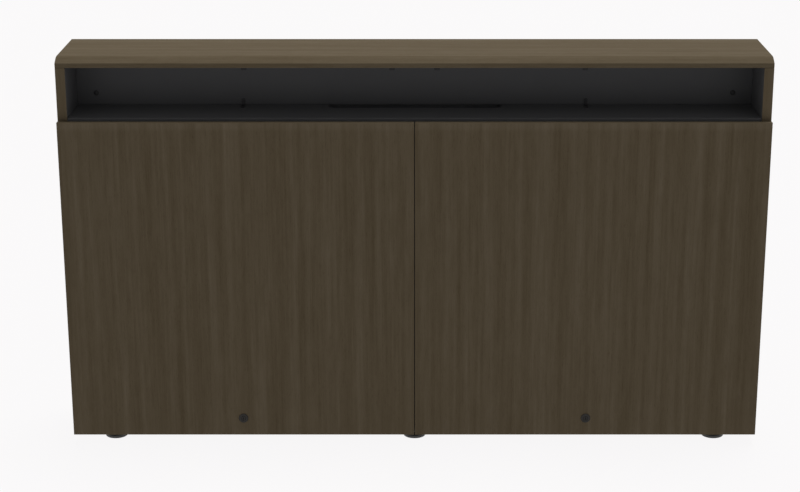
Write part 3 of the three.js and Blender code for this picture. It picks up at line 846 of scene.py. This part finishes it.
def turned(name, outline, centre, axis, steps=48):
    """Spin an outline of (radius, along) points round an axis through a centre."""
    centre = Vector(centre)
    piece = drawn_line([centre + ACROSS[axis] * radius + AXES[axis] * along for radius, along in outline])
    bpy.ops.mesh.spin(steps=steps, angle=2 * math.pi, center=centre, axis=AXES[axis])
    bpy.ops.mesh.select_all(action="SELECT")
    bpy.ops.mesh.remove_doubles(threshold=MERGE)
    bpy.ops.mesh.normals_make_consistent(inside=False)
    return settle(piece, name)


def straight(radius, start, end):
    """The outline of a plain bar."""
    return [(0, start), (radius, start), (radius, end), (0, end)]


# %% [markdown]
# One countersunk screw is enough for all the hinges: a flat head with a cross recess, looking forward. It
# is turned, cut with two crossing blades and then copied along each leaf. Each hole in a leaf is a little
# wider than the head, so a fine dark ring shows round every screw.

# %% Countersunk screw
HEAD_RADIUS = 3.2 * MM
HEAD_DEPTH = 1.0 * MM
HEAD_RIM = 0.15 * MM
SHANK_RADIUS = 1.9 * MM
BLADE = 0.55 * MM
BLADE_DEPTH = 0.6 * MM
HOLE_RADIUS = HEAD_RADIUS + 0.15 * MM
HOLE_SPAN = (-2 * MM, 3 * MM)
HAIR = 0.05 * MM


def cross_recess(piece, centre, axis, reach, depth):
    """Cut a cross into the face of a screw at a centre, sunk by a depth both ways along the axis."""
    centre = Vector(centre)
    for long_way in [key for key in "XYZ" if key != axis]:
        size = Vector([depth if key == axis else (reach if key == long_way else BLADE) for key in "XYZ"])
        cut(piece, block("blade", centre - size, centre + size))
    return piece


def flat_screw(name, face):
    """A countersunk screw whose flat face looks forward at a point."""
    outline = [(0, 0), (HEAD_RADIUS - HEAD_RIM, 0), (HEAD_RADIUS, HEAD_RIM)]
    outline += [(SHANK_RADIUS, HEAD_DEPTH), (0, HEAD_DEPTH)]
    return cross_recess(turned(name, outline, face, "Y", 24), face, "Y", SHANK_RADIUS, BLADE_DEPTH)


# %% [markdown]
# The case leaf is screwed to the front edge of the cubby floor and rolls over the rod from behind. The
# front leaf is screwed to the back of the front board and rolls under the rod. Even knuckles belong to
# the one, odd ones to the other, and each leaf is notched where the other leaf's knuckles stand.

# %% Continuous hinges
KNUCKLES = 35
KNUCKLE_RADIUS = 3.2 * MM
ROD_RADIUS = 1.5 * MM
ROD_EDGE = 0.4 * MM
LEAF = 1.2 * MM
NOTCH_BELOW = 0.5 * MM
SCREWS_PER_LEAF = 7

pin_low, pin_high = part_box("right_hinge_pin")
rod_y, rod_z = (pin_low.y + pin_high.y) / 2, (pin_low.z + pin_high.z) / 2
hinge_start, hinge_end = pin_low.x, pin_high.x
hinge_length = hinge_end - hinge_start
pitch = hinge_length / KNUCKLES
foot_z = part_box("right_hinge_case_leaf")[0].z
notch_floor = rod_z - KNUCKLE_RADIUS - NOTCH_BELOW

case_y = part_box("right_hinge_case_leaf")[1].y
web_angle = math.degrees(math.asin(LEAF / KNUCKLE_RADIUS))
case_outline = [(case_y - LEAF, foot_z), (case_y, foot_z), (case_y, rod_z)]
case_outline += arc((rod_y, rod_z), KNUCKLE_RADIUS, 0, 360 - web_angle, 33)
case_outline += [(case_y - LEAF, rod_z - LEAF)]

front_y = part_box("right_hinge_door_leaf")[1].y
front_web = rod_z - KNUCKLE_RADIUS + LEAF
front_angle = math.degrees(math.asin((front_web - rod_z) / KNUCKLE_RADIUS))
front_outline = [(front_y - LEAF, foot_z), (front_y, foot_z), (front_y, front_web)]
front_outline += arc((rod_y, rod_z), KNUCKLE_RADIUS, front_angle, 270, 28)
front_outline += [(front_y - LEAF, rod_z - KNUCKLE_RADIUS)]


def notched_leaf(name, outline, first_notch, screw_y):
    """A rolled strip, bored for the rod, notched at every second knuckle and drilled for its screws."""
    leaf = drawn_section(name, outline, hinge_start, hinge_end)
    rod_middle = ((hinge_start + hinge_end) / 2, rod_y, rod_z)
    cut(leaf, round_bar("rod_bit", ROD_RADIUS + PLAY, hinge_length + 2 * OVERRUN, rod_middle, "X", 24))
    notches = []
    for i in range(first_notch, KNUCKLES, 2):
        start = hinge_start + i * pitch - PLAY / 2
        notch_high = (start + pitch + PLAY, case_y + OVERRUN, rod_z + OVERRUN)
        notches.append(block("notch", (start, rod_y - OVERRUN, notch_floor), notch_high))
    cut(leaf, joined("notches", notches))
    screw_z = (foot_z + notch_floor) / 2
    gap = hinge_length / SCREWS_PER_LEAF
    faces = [Vector((hinge_start + (i + 0.5) * gap, screw_y, screw_z)) for i in range(SCREWS_PER_LEAF)]
    hole = straight(HOLE_RADIUS, *HOLE_SPAN)
    cut(leaf, joined("holes", [turned("hole", hole, face, "Y", 24) for face in faces]))
    clad(leaf, [satin_paint])
    first = clad(flat_screw("screw", faces[0]), [bright_zinc])
    screws = [first] + [copy_of(first, "screw", face - faces[0]) for face in faces[1:]]
    return joined(name, [leaf, *screws])


right_case_leaf = notched_leaf("right_fixed_leaf", case_outline, 1, case_y - LEAF + HAIR)
right_front_leaf = notched_leaf("right_lifting_leaf", front_outline, 0, front_y - LEAF + 2 * HAIR)
rod_outline = [
    (0, 0),
    (ROD_RADIUS - ROD_EDGE, 0),
    (ROD_RADIUS, ROD_EDGE),
    (ROD_RADIUS, hinge_length - ROD_EDGE),
    (ROD_RADIUS - ROD_EDGE, hinge_length),
    (0, hinge_length),
]
right_rod = turned("right_hinge_rod", rod_outline, (hinge_start, rod_y, rod_z), "X", 24)
clad(right_rod, [bright_zinc])
to_left = (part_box("left_hinge_pin")[0].x - hinge_start, 0, 0)
seat_pair(right_case_leaf, to_left, "hinge_case_leaf", None)
seat_pair(right_front_leaf, to_left, "hinge_door_leaf", "front")
seat_pair(right_rod, to_left, "hinge_pin", None)
print("leaves:", len(right_case_leaf.data.polygons), len(right_front_leaf.data.polygons), "faces")

# %% [markdown]
# A small cam lock sits low in the middle of each front. What shows is its round face: a flange with a
# soft edge, a shallow ring, and the plug with its keyway. The body is turned in one piece with its bore,
# and the plug is turned by itself, because it goes round with the key. Behind the board a thin six-sided
# nut holds the body.

# %% Lock bodies and nuts
LOCK_STEPS = 64
BORE = 6.3 * MM
BARREL = 9.5 * MM
FLANGE_BACK = 1.7 * MM
NUT_EASE = 0.5 * MM
NUT_BORE = BARREL + 0.2 * MM
low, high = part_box("right_lock_housing")
lock_centre = Vector((lock_place.x, low.y, lock_place.z))
flange = (high.x - low.x) / 2
barrel_back = high.y - low.y
body_outline = [
    (BORE, 0.5 * MM),
    (BORE + 0.3 * MM, 0.2 * MM),
    (BORE + 1.2 * MM, 0.2 * MM),
    (BORE + 1.5 * MM, 0),
    (flange - 1.4 * MM, 0),
    (flange - 0.8 * MM, 0.1 * MM),
    (flange - 0.3 * MM, 0.4 * MM),
    (flange, 0.9 * MM),
    (flange, FLANGE_BACK),
    (BARREL, FLANGE_BACK),
    (BARREL, barrel_back - 0.4 * MM),
    (BARREL - 0.4 * MM, barrel_back),
    (BORE, barrel_back),
    (BORE, 0.5 * MM),
]
lock_body = clad(turned("right_lock_body", body_outline, lock_centre, "Y", LOCK_STEPS), [dark_nickel])

low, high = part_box("right_lock_nut")
lock_nut = round_bar("right_ring_nut", (high.z - low.z) / 2, high.y - low.y, (low + high) / 2, "Y", 6)
nut_bit = turned("nut_bit", straight(NUT_BORE, -OVERRUN, 3 * OVERRUN), lock_centre, "Y")
clad(cut(ease(lock_nut, NUT_EASE, 2), nut_bit), [bright_zinc])
print("lock body and nut:", len(lock_body.data.polygons), len(lock_nut.data.polygons), "faces")

# %% [markdown]
# The plug has a flat face with a keyway slot cut into it and a square stud at the back, which is welded
# on by Boolean because a lathe turns no squares. The cam is a plate with round ends on that stud, held by
# a screw with a cross recess. Its outline could be drawn, but a block with rounded ends is the same
# shape. At rest it hangs down, unlocked; a quarter turn brings it behind its catch.

# %% Plugs and cams
KEYWAY = Vector((0.9, 6.0, 3.5)) * MM
STUD_HALF = 3.5 * MM
STUD_ROOT = 1 * MM
CAM_EASE = 0.3 * MM
PAN_DOME = [(0, 1.0), (0.45, 0.97), (0.75, 0.8), (0.94, 0.5), (1.0, 0.2), (1.0, 0), (0, 0)]
PAN_RECESS = (0.55, 0.5)
CAM_SCREW_RADIUS = 4.2 * MM
low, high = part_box("right_lock_plug")
cam_low, cam_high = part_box("right_lock_cam")
plug_radius = (high.x - low.x) / 2
shaft = cam_low.y - PLAY - low.y
plug_face = Vector((lock_place.x, low.y, lock_place.z))


def square_bar(name, half, start_y, end_y):
    """A square bar along the axis of the lock."""
    return block(
        name,
        (lock_place.x - half, start_y, lock_place.z - half),
        (lock_place.x + half, end_y, lock_place.z + half),
    )


plug_outline = [
    (0, 0),
    (plug_radius - 1.0 * MM, 0),
    (plug_radius - 0.6 * MM, 0.08 * MM),
    (plug_radius - 0.25 * MM, 0.3 * MM),
    (plug_radius, 0.7 * MM),
    (plug_radius, shaft),
    (0, shaft),
]
key_plug = turned("right_key_plug", plug_outline, plug_face, "Y", LOCK_STEPS)
cut(key_plug, block("keyway", plug_face - KEYWAY, plug_face + KEYWAY))
carve(key_plug, "UNION", square_bar("stud", STUD_HALF, low.y + shaft - STUD_ROOT, high.y))
clad(key_plug, [dark_nickel])

cam_width = cam_high.x - cam_low.x
lock_cam = round_ended(block("right_lock_tongue", cam_low, cam_high), 1, FULL_ROUND * cam_width, 12)
ease(lock_cam, CAM_EASE, 2)
cut(lock_cam, square_bar("stud_hole", STUD_HALF + PLAY, cam_low.y - OVERRUN, cam_high.y + OVERRUN))
clad(lock_cam, [bright_zinc])


def pan_screw(name, face, axis, way, radius=3.5 * MM, rise=2.0 * MM, finish=bright_zinc):
    """A domed screw head that stands on a face and looks along an axis, one way or the other."""
    head = turned(name, [(r * radius, way * h * rise) for r, h in PAN_DOME], face, axis, 32)
    crown = Vector(face) + AXES[axis] * way * rise
    cross_recess(head, crown, axis, PAN_RECESS[0] * radius, PAN_RECESS[1] * rise)
    return clad(head, [finish])


stud_end = (lock_place.x, high.y + HAIR, lock_place.z)
cam_screw = pan_screw("cam_screw", stud_end, "Y", 1, CAM_SCREW_RADIUS)
key_plug = joined("right_key_plug", [key_plug, cam_screw])
print("plug and cam:", len(key_plug.data.polygons), len(lock_cam.data.polygons), "faces")

# %% [markdown]
# The catch is a small angle of bent sheet on the bottom board. Two blocks could make an angle, but bent
# sheet has a round bend outside and inside. So its section is drawn, as for the hinge, and carried across
# its width; the free corners are rounded and a screw goes through the foot.

# %% Catches for the cams
SHEET = 2.0 * MM
OUTER_BEND = 1.4 * SHEET
INNER_BEND = 0.4 * SHEET
CATCH_CORNER = 3 * MM
CATCH_SCREW = 13 * MM
CORNER_ROWS = 5


def bent_angle(name, low, high, rises_behind, foot_below, corner):
    """An angle of sheet that fills a box, with a round bend and round corners at the ends of its legs."""
    y_in, y_out = (high.y, low.y) if rises_behind else (low.y, high.y)
    z_in, z_out = (low.z, high.z) if foot_below else (high.z, low.z)
    reach, rise = high.y - low.y, high.z - low.z
    bend = (OUTER_BEND, OUTER_BEND)
    section = [(0, rise), *arc(bend, OUTER_BEND, 180, 270, 6), (reach, 0), (reach, SHEET)]
    section += [*arc(bend, INNER_BEND, 270, 180, 4), (SHEET, rise)]
    y_way, z_way = math.copysign(1, y_out - y_in), math.copysign(1, z_out - z_in)
    outline = [(y_in + y_way * along, z_in + z_way * up) for along, up in section]

    def at_a_corner(start, end):
        at_an_end = near(start.x, end.x) and (near(start.x, low.x) or near(start.x, high.x))
        tip_of_foot = near(start.y, y_out) and near(end.y, y_out)
        tip_of_rise = near(start.z, z_out) and near(end.z, z_out)
        return at_an_end and (tip_of_foot or tip_of_rise)

    return bevel_edges(drawn_section(name, outline, low.x, high.x), at_a_corner, corner, CORNER_ROWS)


low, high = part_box("right_lock_strike")
catch = clad(bent_angle("right_tongue_catch", low, high, False, True, CATCH_CORNER), [bright_zinc])
foot_face = ((low.x + high.x) / 2, low.y + CATCH_SCREW, low.z + SHEET)
catch = joined("right_tongue_catch", [catch, pan_screw("catch_screw", foot_face, "Z", 1)])
across = (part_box("left_lock_plug")[0].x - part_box("right_lock_plug")[0].x, 0, 0)
seat_pair(lock_body, across, "lock_housing", "front")
seat_pair(lock_nut, across, "lock_nut", "front")
seat_pair(key_plug, across, "lock_plug", "lock")
seat_pair(lock_cam, across, "lock_cam", "lock")
seat_pair(catch, across, "lock_strike", None)
print("catch:", len(catch.data.polygons), "faces")

# %% [markdown]
# Small black angles fix the cubby's back lining: four hang from the top and two stand on the floor. Only
# the ends of their legs show from the front. They are bent like the catch, so the same function makes
# them, and each has one screw in each leg.

# %% Angles in the cubby
ANGLE_CORNER = 2.5 * MM
ANGLE_SCREW = (3.2 * MM, 1.6 * MM, satin_paint)
HANGING_SCREWS = (22 * MM, 22 * MM)
STANDING_SCREWS = (24 * MM, 11 * MM)


def cubby_angle(name, node_name, foot_below, reach_screw, rise_screw):
    """An angle at the lining, with its screws so far from the lining and from the board."""
    low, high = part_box(node_name)
    angle = clad(bent_angle(name, low, high, True, foot_below, ANGLE_CORNER), [satin_paint])
    way = 1 if foot_below else -1
    mid_x = (low.x + high.x) / 2
    z_in = low.z if foot_below else high.z
    on_foot = pan_screw("screw", (mid_x, high.y - reach_screw, z_in + way * SHEET), "Z", way, *ANGLE_SCREW)
    on_rise = pan_screw("screw", (mid_x, high.y - SHEET, z_in + way * rise_screw), "Y", -1, *ANGLE_SCREW)
    return seat(joined(name, [angle, on_foot, on_rise]), "case", node_name)


for side in SIDES:
    for place in ("outer", "inner"):
        cubby_angle(f"{side}_{place}_hanging_angle", f"{side}_{place}_top_bracket", False, *HANGING_SCREWS)
    made = cubby_angle(f"{side}_standing_angle", f"{side}_shelf_bracket", True, *STANDING_SCREWS)
print("angles:", len(made.data.polygons), "faces each")

# %% [markdown]
# Two moulded caps hide screws near the ends of the cubby's back. Soft clear bumpers on the front edges of
# the sides keep the closed fronts from knocking. A squashed sphere would do for a bumper, but a cap has a
# step at its rim, so both are turned from outlines given as shares of radius and height.

# %% Caps and bumpers
CAP_DOME = [(0, 1.0), (0.3, 0.99), (0.55, 0.95), (0.75, 0.86), (0.86, 0.74)]
CAP_DOME += [(0.88, 0.6), (0.97, 0.52), (1.0, 0.38), (1.0, 0), (0, 0)]
BUMP_DOME = [(0, 1.0), (0.4, 0.98), (0.7, 0.85), (0.9, 0.55), (1.0, 0.15), (1.0, 0), (0, 0)]
DOME_SHARP = 60


def domed(name, node_name, dome, finish):
    """A turned dome that fills a node's box and looks forward."""
    low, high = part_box(node_name)
    radius, rise = (high.x - low.x) / 2, high.y - low.y
    base = ((low.x + high.x) / 2, high.y, (low.z + high.z) / 2)
    piece = turned(name, [(r * radius, -h * rise) for r, h in dome], base, "Y", 40)
    return seat(clad(piece, [finish], sharp=DOME_SHARP), "case", node_name)


for side in SIDES:
    domed(f"{side}_cover_cap", f"{side}_screw_cap", CAP_DOME, moulded_black)
    for level in ("lower", "upper"):
        made = domed(f"{side}_{level}_bump", f"{side}_{level}_bumper", BUMP_DOME, clear_bump)
print("bumpers:", len(made.data.polygons), "faces each")

# %% [markdown]
# Shelf pegs are turned steel: a plain shank in the hole, a thin collar against the board and a
# round-ended shank under the shelf. Three cylinders would be quicker, but they have no chamfers to catch
# the light, so the whole peg is one turned outline. The collar is thin enough to stand in the gap at the
# end of the shelf.

# %% Shelf pegs
COLLAR_RADIUS = 4.0 * MM
COLLAR = (8.1 * MM, 8.6 * MM)


def shelf_peg(name, node_name, way):
    low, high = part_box(node_name)
    radius, length = (high.z - low.z) / 2, high.x - low.x
    outline = [
        (0, 0),
        (radius - 0.5 * MM, 0),
        (radius, 0.5 * MM),
        (radius, COLLAR[0]),
        (COLLAR_RADIUS - 0.1 * MM, COLLAR[0]),
        (COLLAR_RADIUS, (COLLAR[0] + COLLAR[1]) / 2),
        (COLLAR_RADIUS - 0.1 * MM, COLLAR[1]),
        (radius, COLLAR[1]),
        (radius, length - 1.2 * MM),
        (radius - 0.35 * MM, length - 0.35 * MM),
        (radius - 1.2 * MM, length),
        (0, length),
    ]
    start = (low.x if way > 0 else high.x, (low.y + high.y) / 2, (low.z + high.z) / 2)
    peg = turned(name, [(r, way * x) for r, x in outline], start, "X", 32)
    return seat(clad(peg, [bright_zinc]), "case", node_name)


for side, sign in SIDES.items():
    for end, way in (("inner", sign), ("outer", -sign)):
        for row in ROWS:
            made = shelf_peg(f"{side}_{end}_{row}_peg", f"{side}_shelf_pin_{end}_{row}", way)
print("pegs:", len(made.data.polygons), "faces each")

# %% [markdown]
# Six levelling feet carry the case. Each is a wide round pad with a sloping shoulder, a neck with flats
# for a spanner and a threaded stem that goes up into a flanged socket. All are turned; the stem's thread
# is drawn as fine ridges, which at this size can't be told from a true helix.

# %% Levelling feet and sockets
FOOT_STEPS = 64
THREAD_PITCH = 1.5 * MM
THREAD_DEPTH = 0.6 * MM
NECK = 11 * MM
STEM = 5 * MM
PAD_TOP = 9 * MM
SHOULDER_TOP = 16 * MM
FLAT_MARGIN = 1.5 * MM
SOCKET_BARREL = 8 * MM
SOCKET_FLANGE = 2.5 * MM
SOCKET_EASE = 0.8 * MM
low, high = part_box("front_left_foot")
pad = (high.x - low.x) / 2
socket_low, socket_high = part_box("front_left_insert")
neck_top = socket_low.z - PLAY
foot_centre = Vector(((low.x + high.x) / 2, (low.y + high.y) / 2, low.z))
foot_outline = [
    (0, 0.6 * MM),
    (pad - 6 * MM, 0.6 * MM),
    (pad - 5.4 * MM, 0),
    (pad - 2.0 * MM, 0),
    (pad - 0.9 * MM, 0.35 * MM),
    (pad - 0.25 * MM, 1.1 * MM),
    (pad, 2.2 * MM),
    (pad, PAD_TOP - 1.6 * MM),
    (pad - 0.35 * MM, PAD_TOP - 0.7 * MM),
    (pad - 1.2 * MM, PAD_TOP - 0.1 * MM),
    (NECK + 2.0 * MM, SHOULDER_TOP - 0.9 * MM),
    (NECK + 0.6 * MM, SHOULDER_TOP - 0.3 * MM),
    (NECK, SHOULDER_TOP + 0.6 * MM),
    (NECK, neck_top - 0.5 * MM),
    (NECK - 0.5 * MM, neck_top),
    (STEM, neck_top),
]
for i in range(int((high.z - neck_top) / THREAD_PITCH) - 1):
    foot_outline.append((STEM - THREAD_DEPTH, neck_top + (i + 0.75) * THREAD_PITCH))
    foot_outline.append((STEM, neck_top + (i + 1.25) * THREAD_PITCH))
foot_outline += [(STEM - 1 * MM, high.z), (0, high.z)]
first_foot = turned("front_left_levelling_foot", foot_outline, foot_centre, "Z", FOOT_STEPS)
flat_reach = NECK + OVERRUN
for way in (-1, 1):
    span = sorted(foot_centre.x + way * reach for reach in (NECK - FLAT_MARGIN, flat_reach))
    flat_low = (span[0], foot_centre.y - flat_reach, SHOULDER_TOP + FLAT_MARGIN)
    flat_high = (span[1], foot_centre.y + flat_reach, neck_top - FLAT_MARGIN)
    cut(first_foot, block("spanner_flat", flat_low, flat_high))
clad(first_foot, [foot_enamel])

flange_radius = (socket_high.x - socket_low.x) / 2
rise = socket_high.z - socket_low.z
bore = STEM + PLAY
socket_outline = [
    (bore + SOCKET_EASE, 0),
    (flange_radius - SOCKET_EASE, 0),
    (flange_radius, SOCKET_EASE),
    (flange_radius, SOCKET_FLANGE),
    (SOCKET_BARREL, SOCKET_FLANGE),
    (SOCKET_BARREL, rise),
    (bore, rise),
    (bore, SOCKET_EASE),
    (bore + SOCKET_EASE, 0),
]
socket_centre = Vector((foot_centre.x, foot_centre.y, socket_low.z))
first_socket = turned("front_left_foot_socket", socket_outline, socket_centre, "Z", 40)
clad(first_socket, [bright_zinc])
feet, sockets = {}, {}
for foot in FEET:
    shift = middle_of(f"{foot}_foot") - middle_of("front_left_foot")
    for made, first, end in ((feet, first_foot, "levelling_foot"), (sockets, first_socket, "foot_socket")):
        name = f"{foot}_{end}"
        made[foot] = first if first.name == name else copy_of(first, name, shift)
for foot in FEET:
    seat(feet[foot], f"{foot}_leveller", f"{foot}_foot")
    seat(sockets[foot], "case", f"{foot}_insert")
print("feet:", len(first_foot.data.polygons), "faces each")

# %% [markdown]
# The floor is plain and pale and runs on past the edge of the picture. A real sweep of paper would do,
# but its brightness would depend on every lamp. This floor glows evenly by itself, and only a small share
# of it takes light and shadow: a faint trace of shadow under the case. The world glows in the same white
# for the camera and for reflections, so no line shows where the floor ends. To all other light it is a
# dimmer room that is a little brighter on the right.

# %% Floor and surroundings
PALE = (0.968, 0.957, 0.962, 1)
FLOOR_SIZE = 120
FLOOR_GREY = (0.60, 0.595, 0.59, 1)
SHADOW_SEEN = 0.05
SHADOW_BOUNCED = 0.08
ROOM = 0.35
ROOM_RIGHT = 0.14


def seen_directly(tree):
    """One for rays from the camera and from reflecting or clear surfaces, nought for all others."""
    path = node(tree, "ShaderNodeLightPath").outputs
    either = maths(tree, "MAXIMUM", path["Is Camera Ray"], path["Is Glossy Ray"])
    return maths(tree, "MAXIMUM", either, path["Is Transmission Ray"])


let_go()
bpy.ops.mesh.primitive_plane_add(size=FLOOR_SIZE, location=(0, 0, 0))
floor = bpy.context.object
floor.name = "floor"
pale_floor = bpy.data.materials.new("pale_floor")
pale_floor.use_nodes = True
pale_floor.cycles.emission_sampling = "NONE"
tree = pale_floor.node_tree
tree.nodes.remove(tree.nodes["Principled BSDF"])
bounce = node(tree, "ShaderNodeBsdfDiffuse", {"Color": FLOOR_GREY}).outputs[0]
glow = node(tree, "ShaderNodeEmission", {"Color": PALE, "Strength": 1.0}).outputs[0]
shadow = maths(tree, "MULTIPLY_ADD", seen_directly(tree), SHADOW_SEEN - SHADOW_BOUNCED, SHADOW_BOUNCED)
surface = node(tree, "ShaderNodeMixShader", {0: shadow, 1: glow, 2: bounce}).outputs[0]
tree.links.new(surface, tree.nodes["Material Output"].inputs["Surface"])
floor.data.materials.append(pale_floor)
floor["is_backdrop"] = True

surroundings = bpy.data.worlds.new("surroundings")
scene.world = surroundings
surroundings.use_nodes = True
surroundings.cycles.sampling_method = "NONE"
tree = surroundings.node_tree
soft = tree.nodes["Background"]
soft.inputs["Color"].default_value = (1, 1, 1, 1)
heading = node(tree, "ShaderNodeTexCoord").outputs["Generated"]
rightwards = node(tree, "ShaderNodeSeparateXYZ", {"Vector": heading}).outputs["X"]
feed(tree, soft, Strength=maths(tree, "MULTIPLY_ADD", rightwards, ROOM_RIGHT, ROOM))
backdrop = node(tree, "ShaderNodeBackground", {"Color": PALE, "Strength": 1.0})
layers = {0: seen_directly(tree), 1: soft.outputs[0], 2: backdrop.outputs[0]}
mixed = node(tree, "ShaderNodeMixShader", layers)
tree.links.new(mixed.outputs[0], tree.nodes["World Output"].inputs["Surface"])
print("floor and surroundings are pale")

# %% [markdown]
# One broad, soft lamp stands high above, a little behind and to the right. It lights the top most and the
# fronts least; the pale floor fills the fronts and the upper part of the cubby's back from below. A sun
# lamp is used because it doesn't fade with distance, so the floor stays even.

# %% Lamp
LAMP_STRENGTH = 3.2
LAMP_BEHIND = 10
LAMP_RIGHT = 5
LAMP_SOFTNESS = 24
let_go()
bpy.ops.object.light_add(type="SUN", rotation=(math.radians(-LAMP_BEHIND), math.radians(LAMP_RIGHT), 0))
lamp = bpy.context.object
lamp.name = "high_soft_lamp"
lamp.data.energy = LAMP_STRENGTH
lamp.data.angle = math.radians(LAMP_SOFTNESS)
print("lamp strength:", lamp.data.energy)

# %% [markdown]
# Blender must not change the size of the object. The box of the dressed model is measured here.

# %% Sizes and finish
low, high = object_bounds()
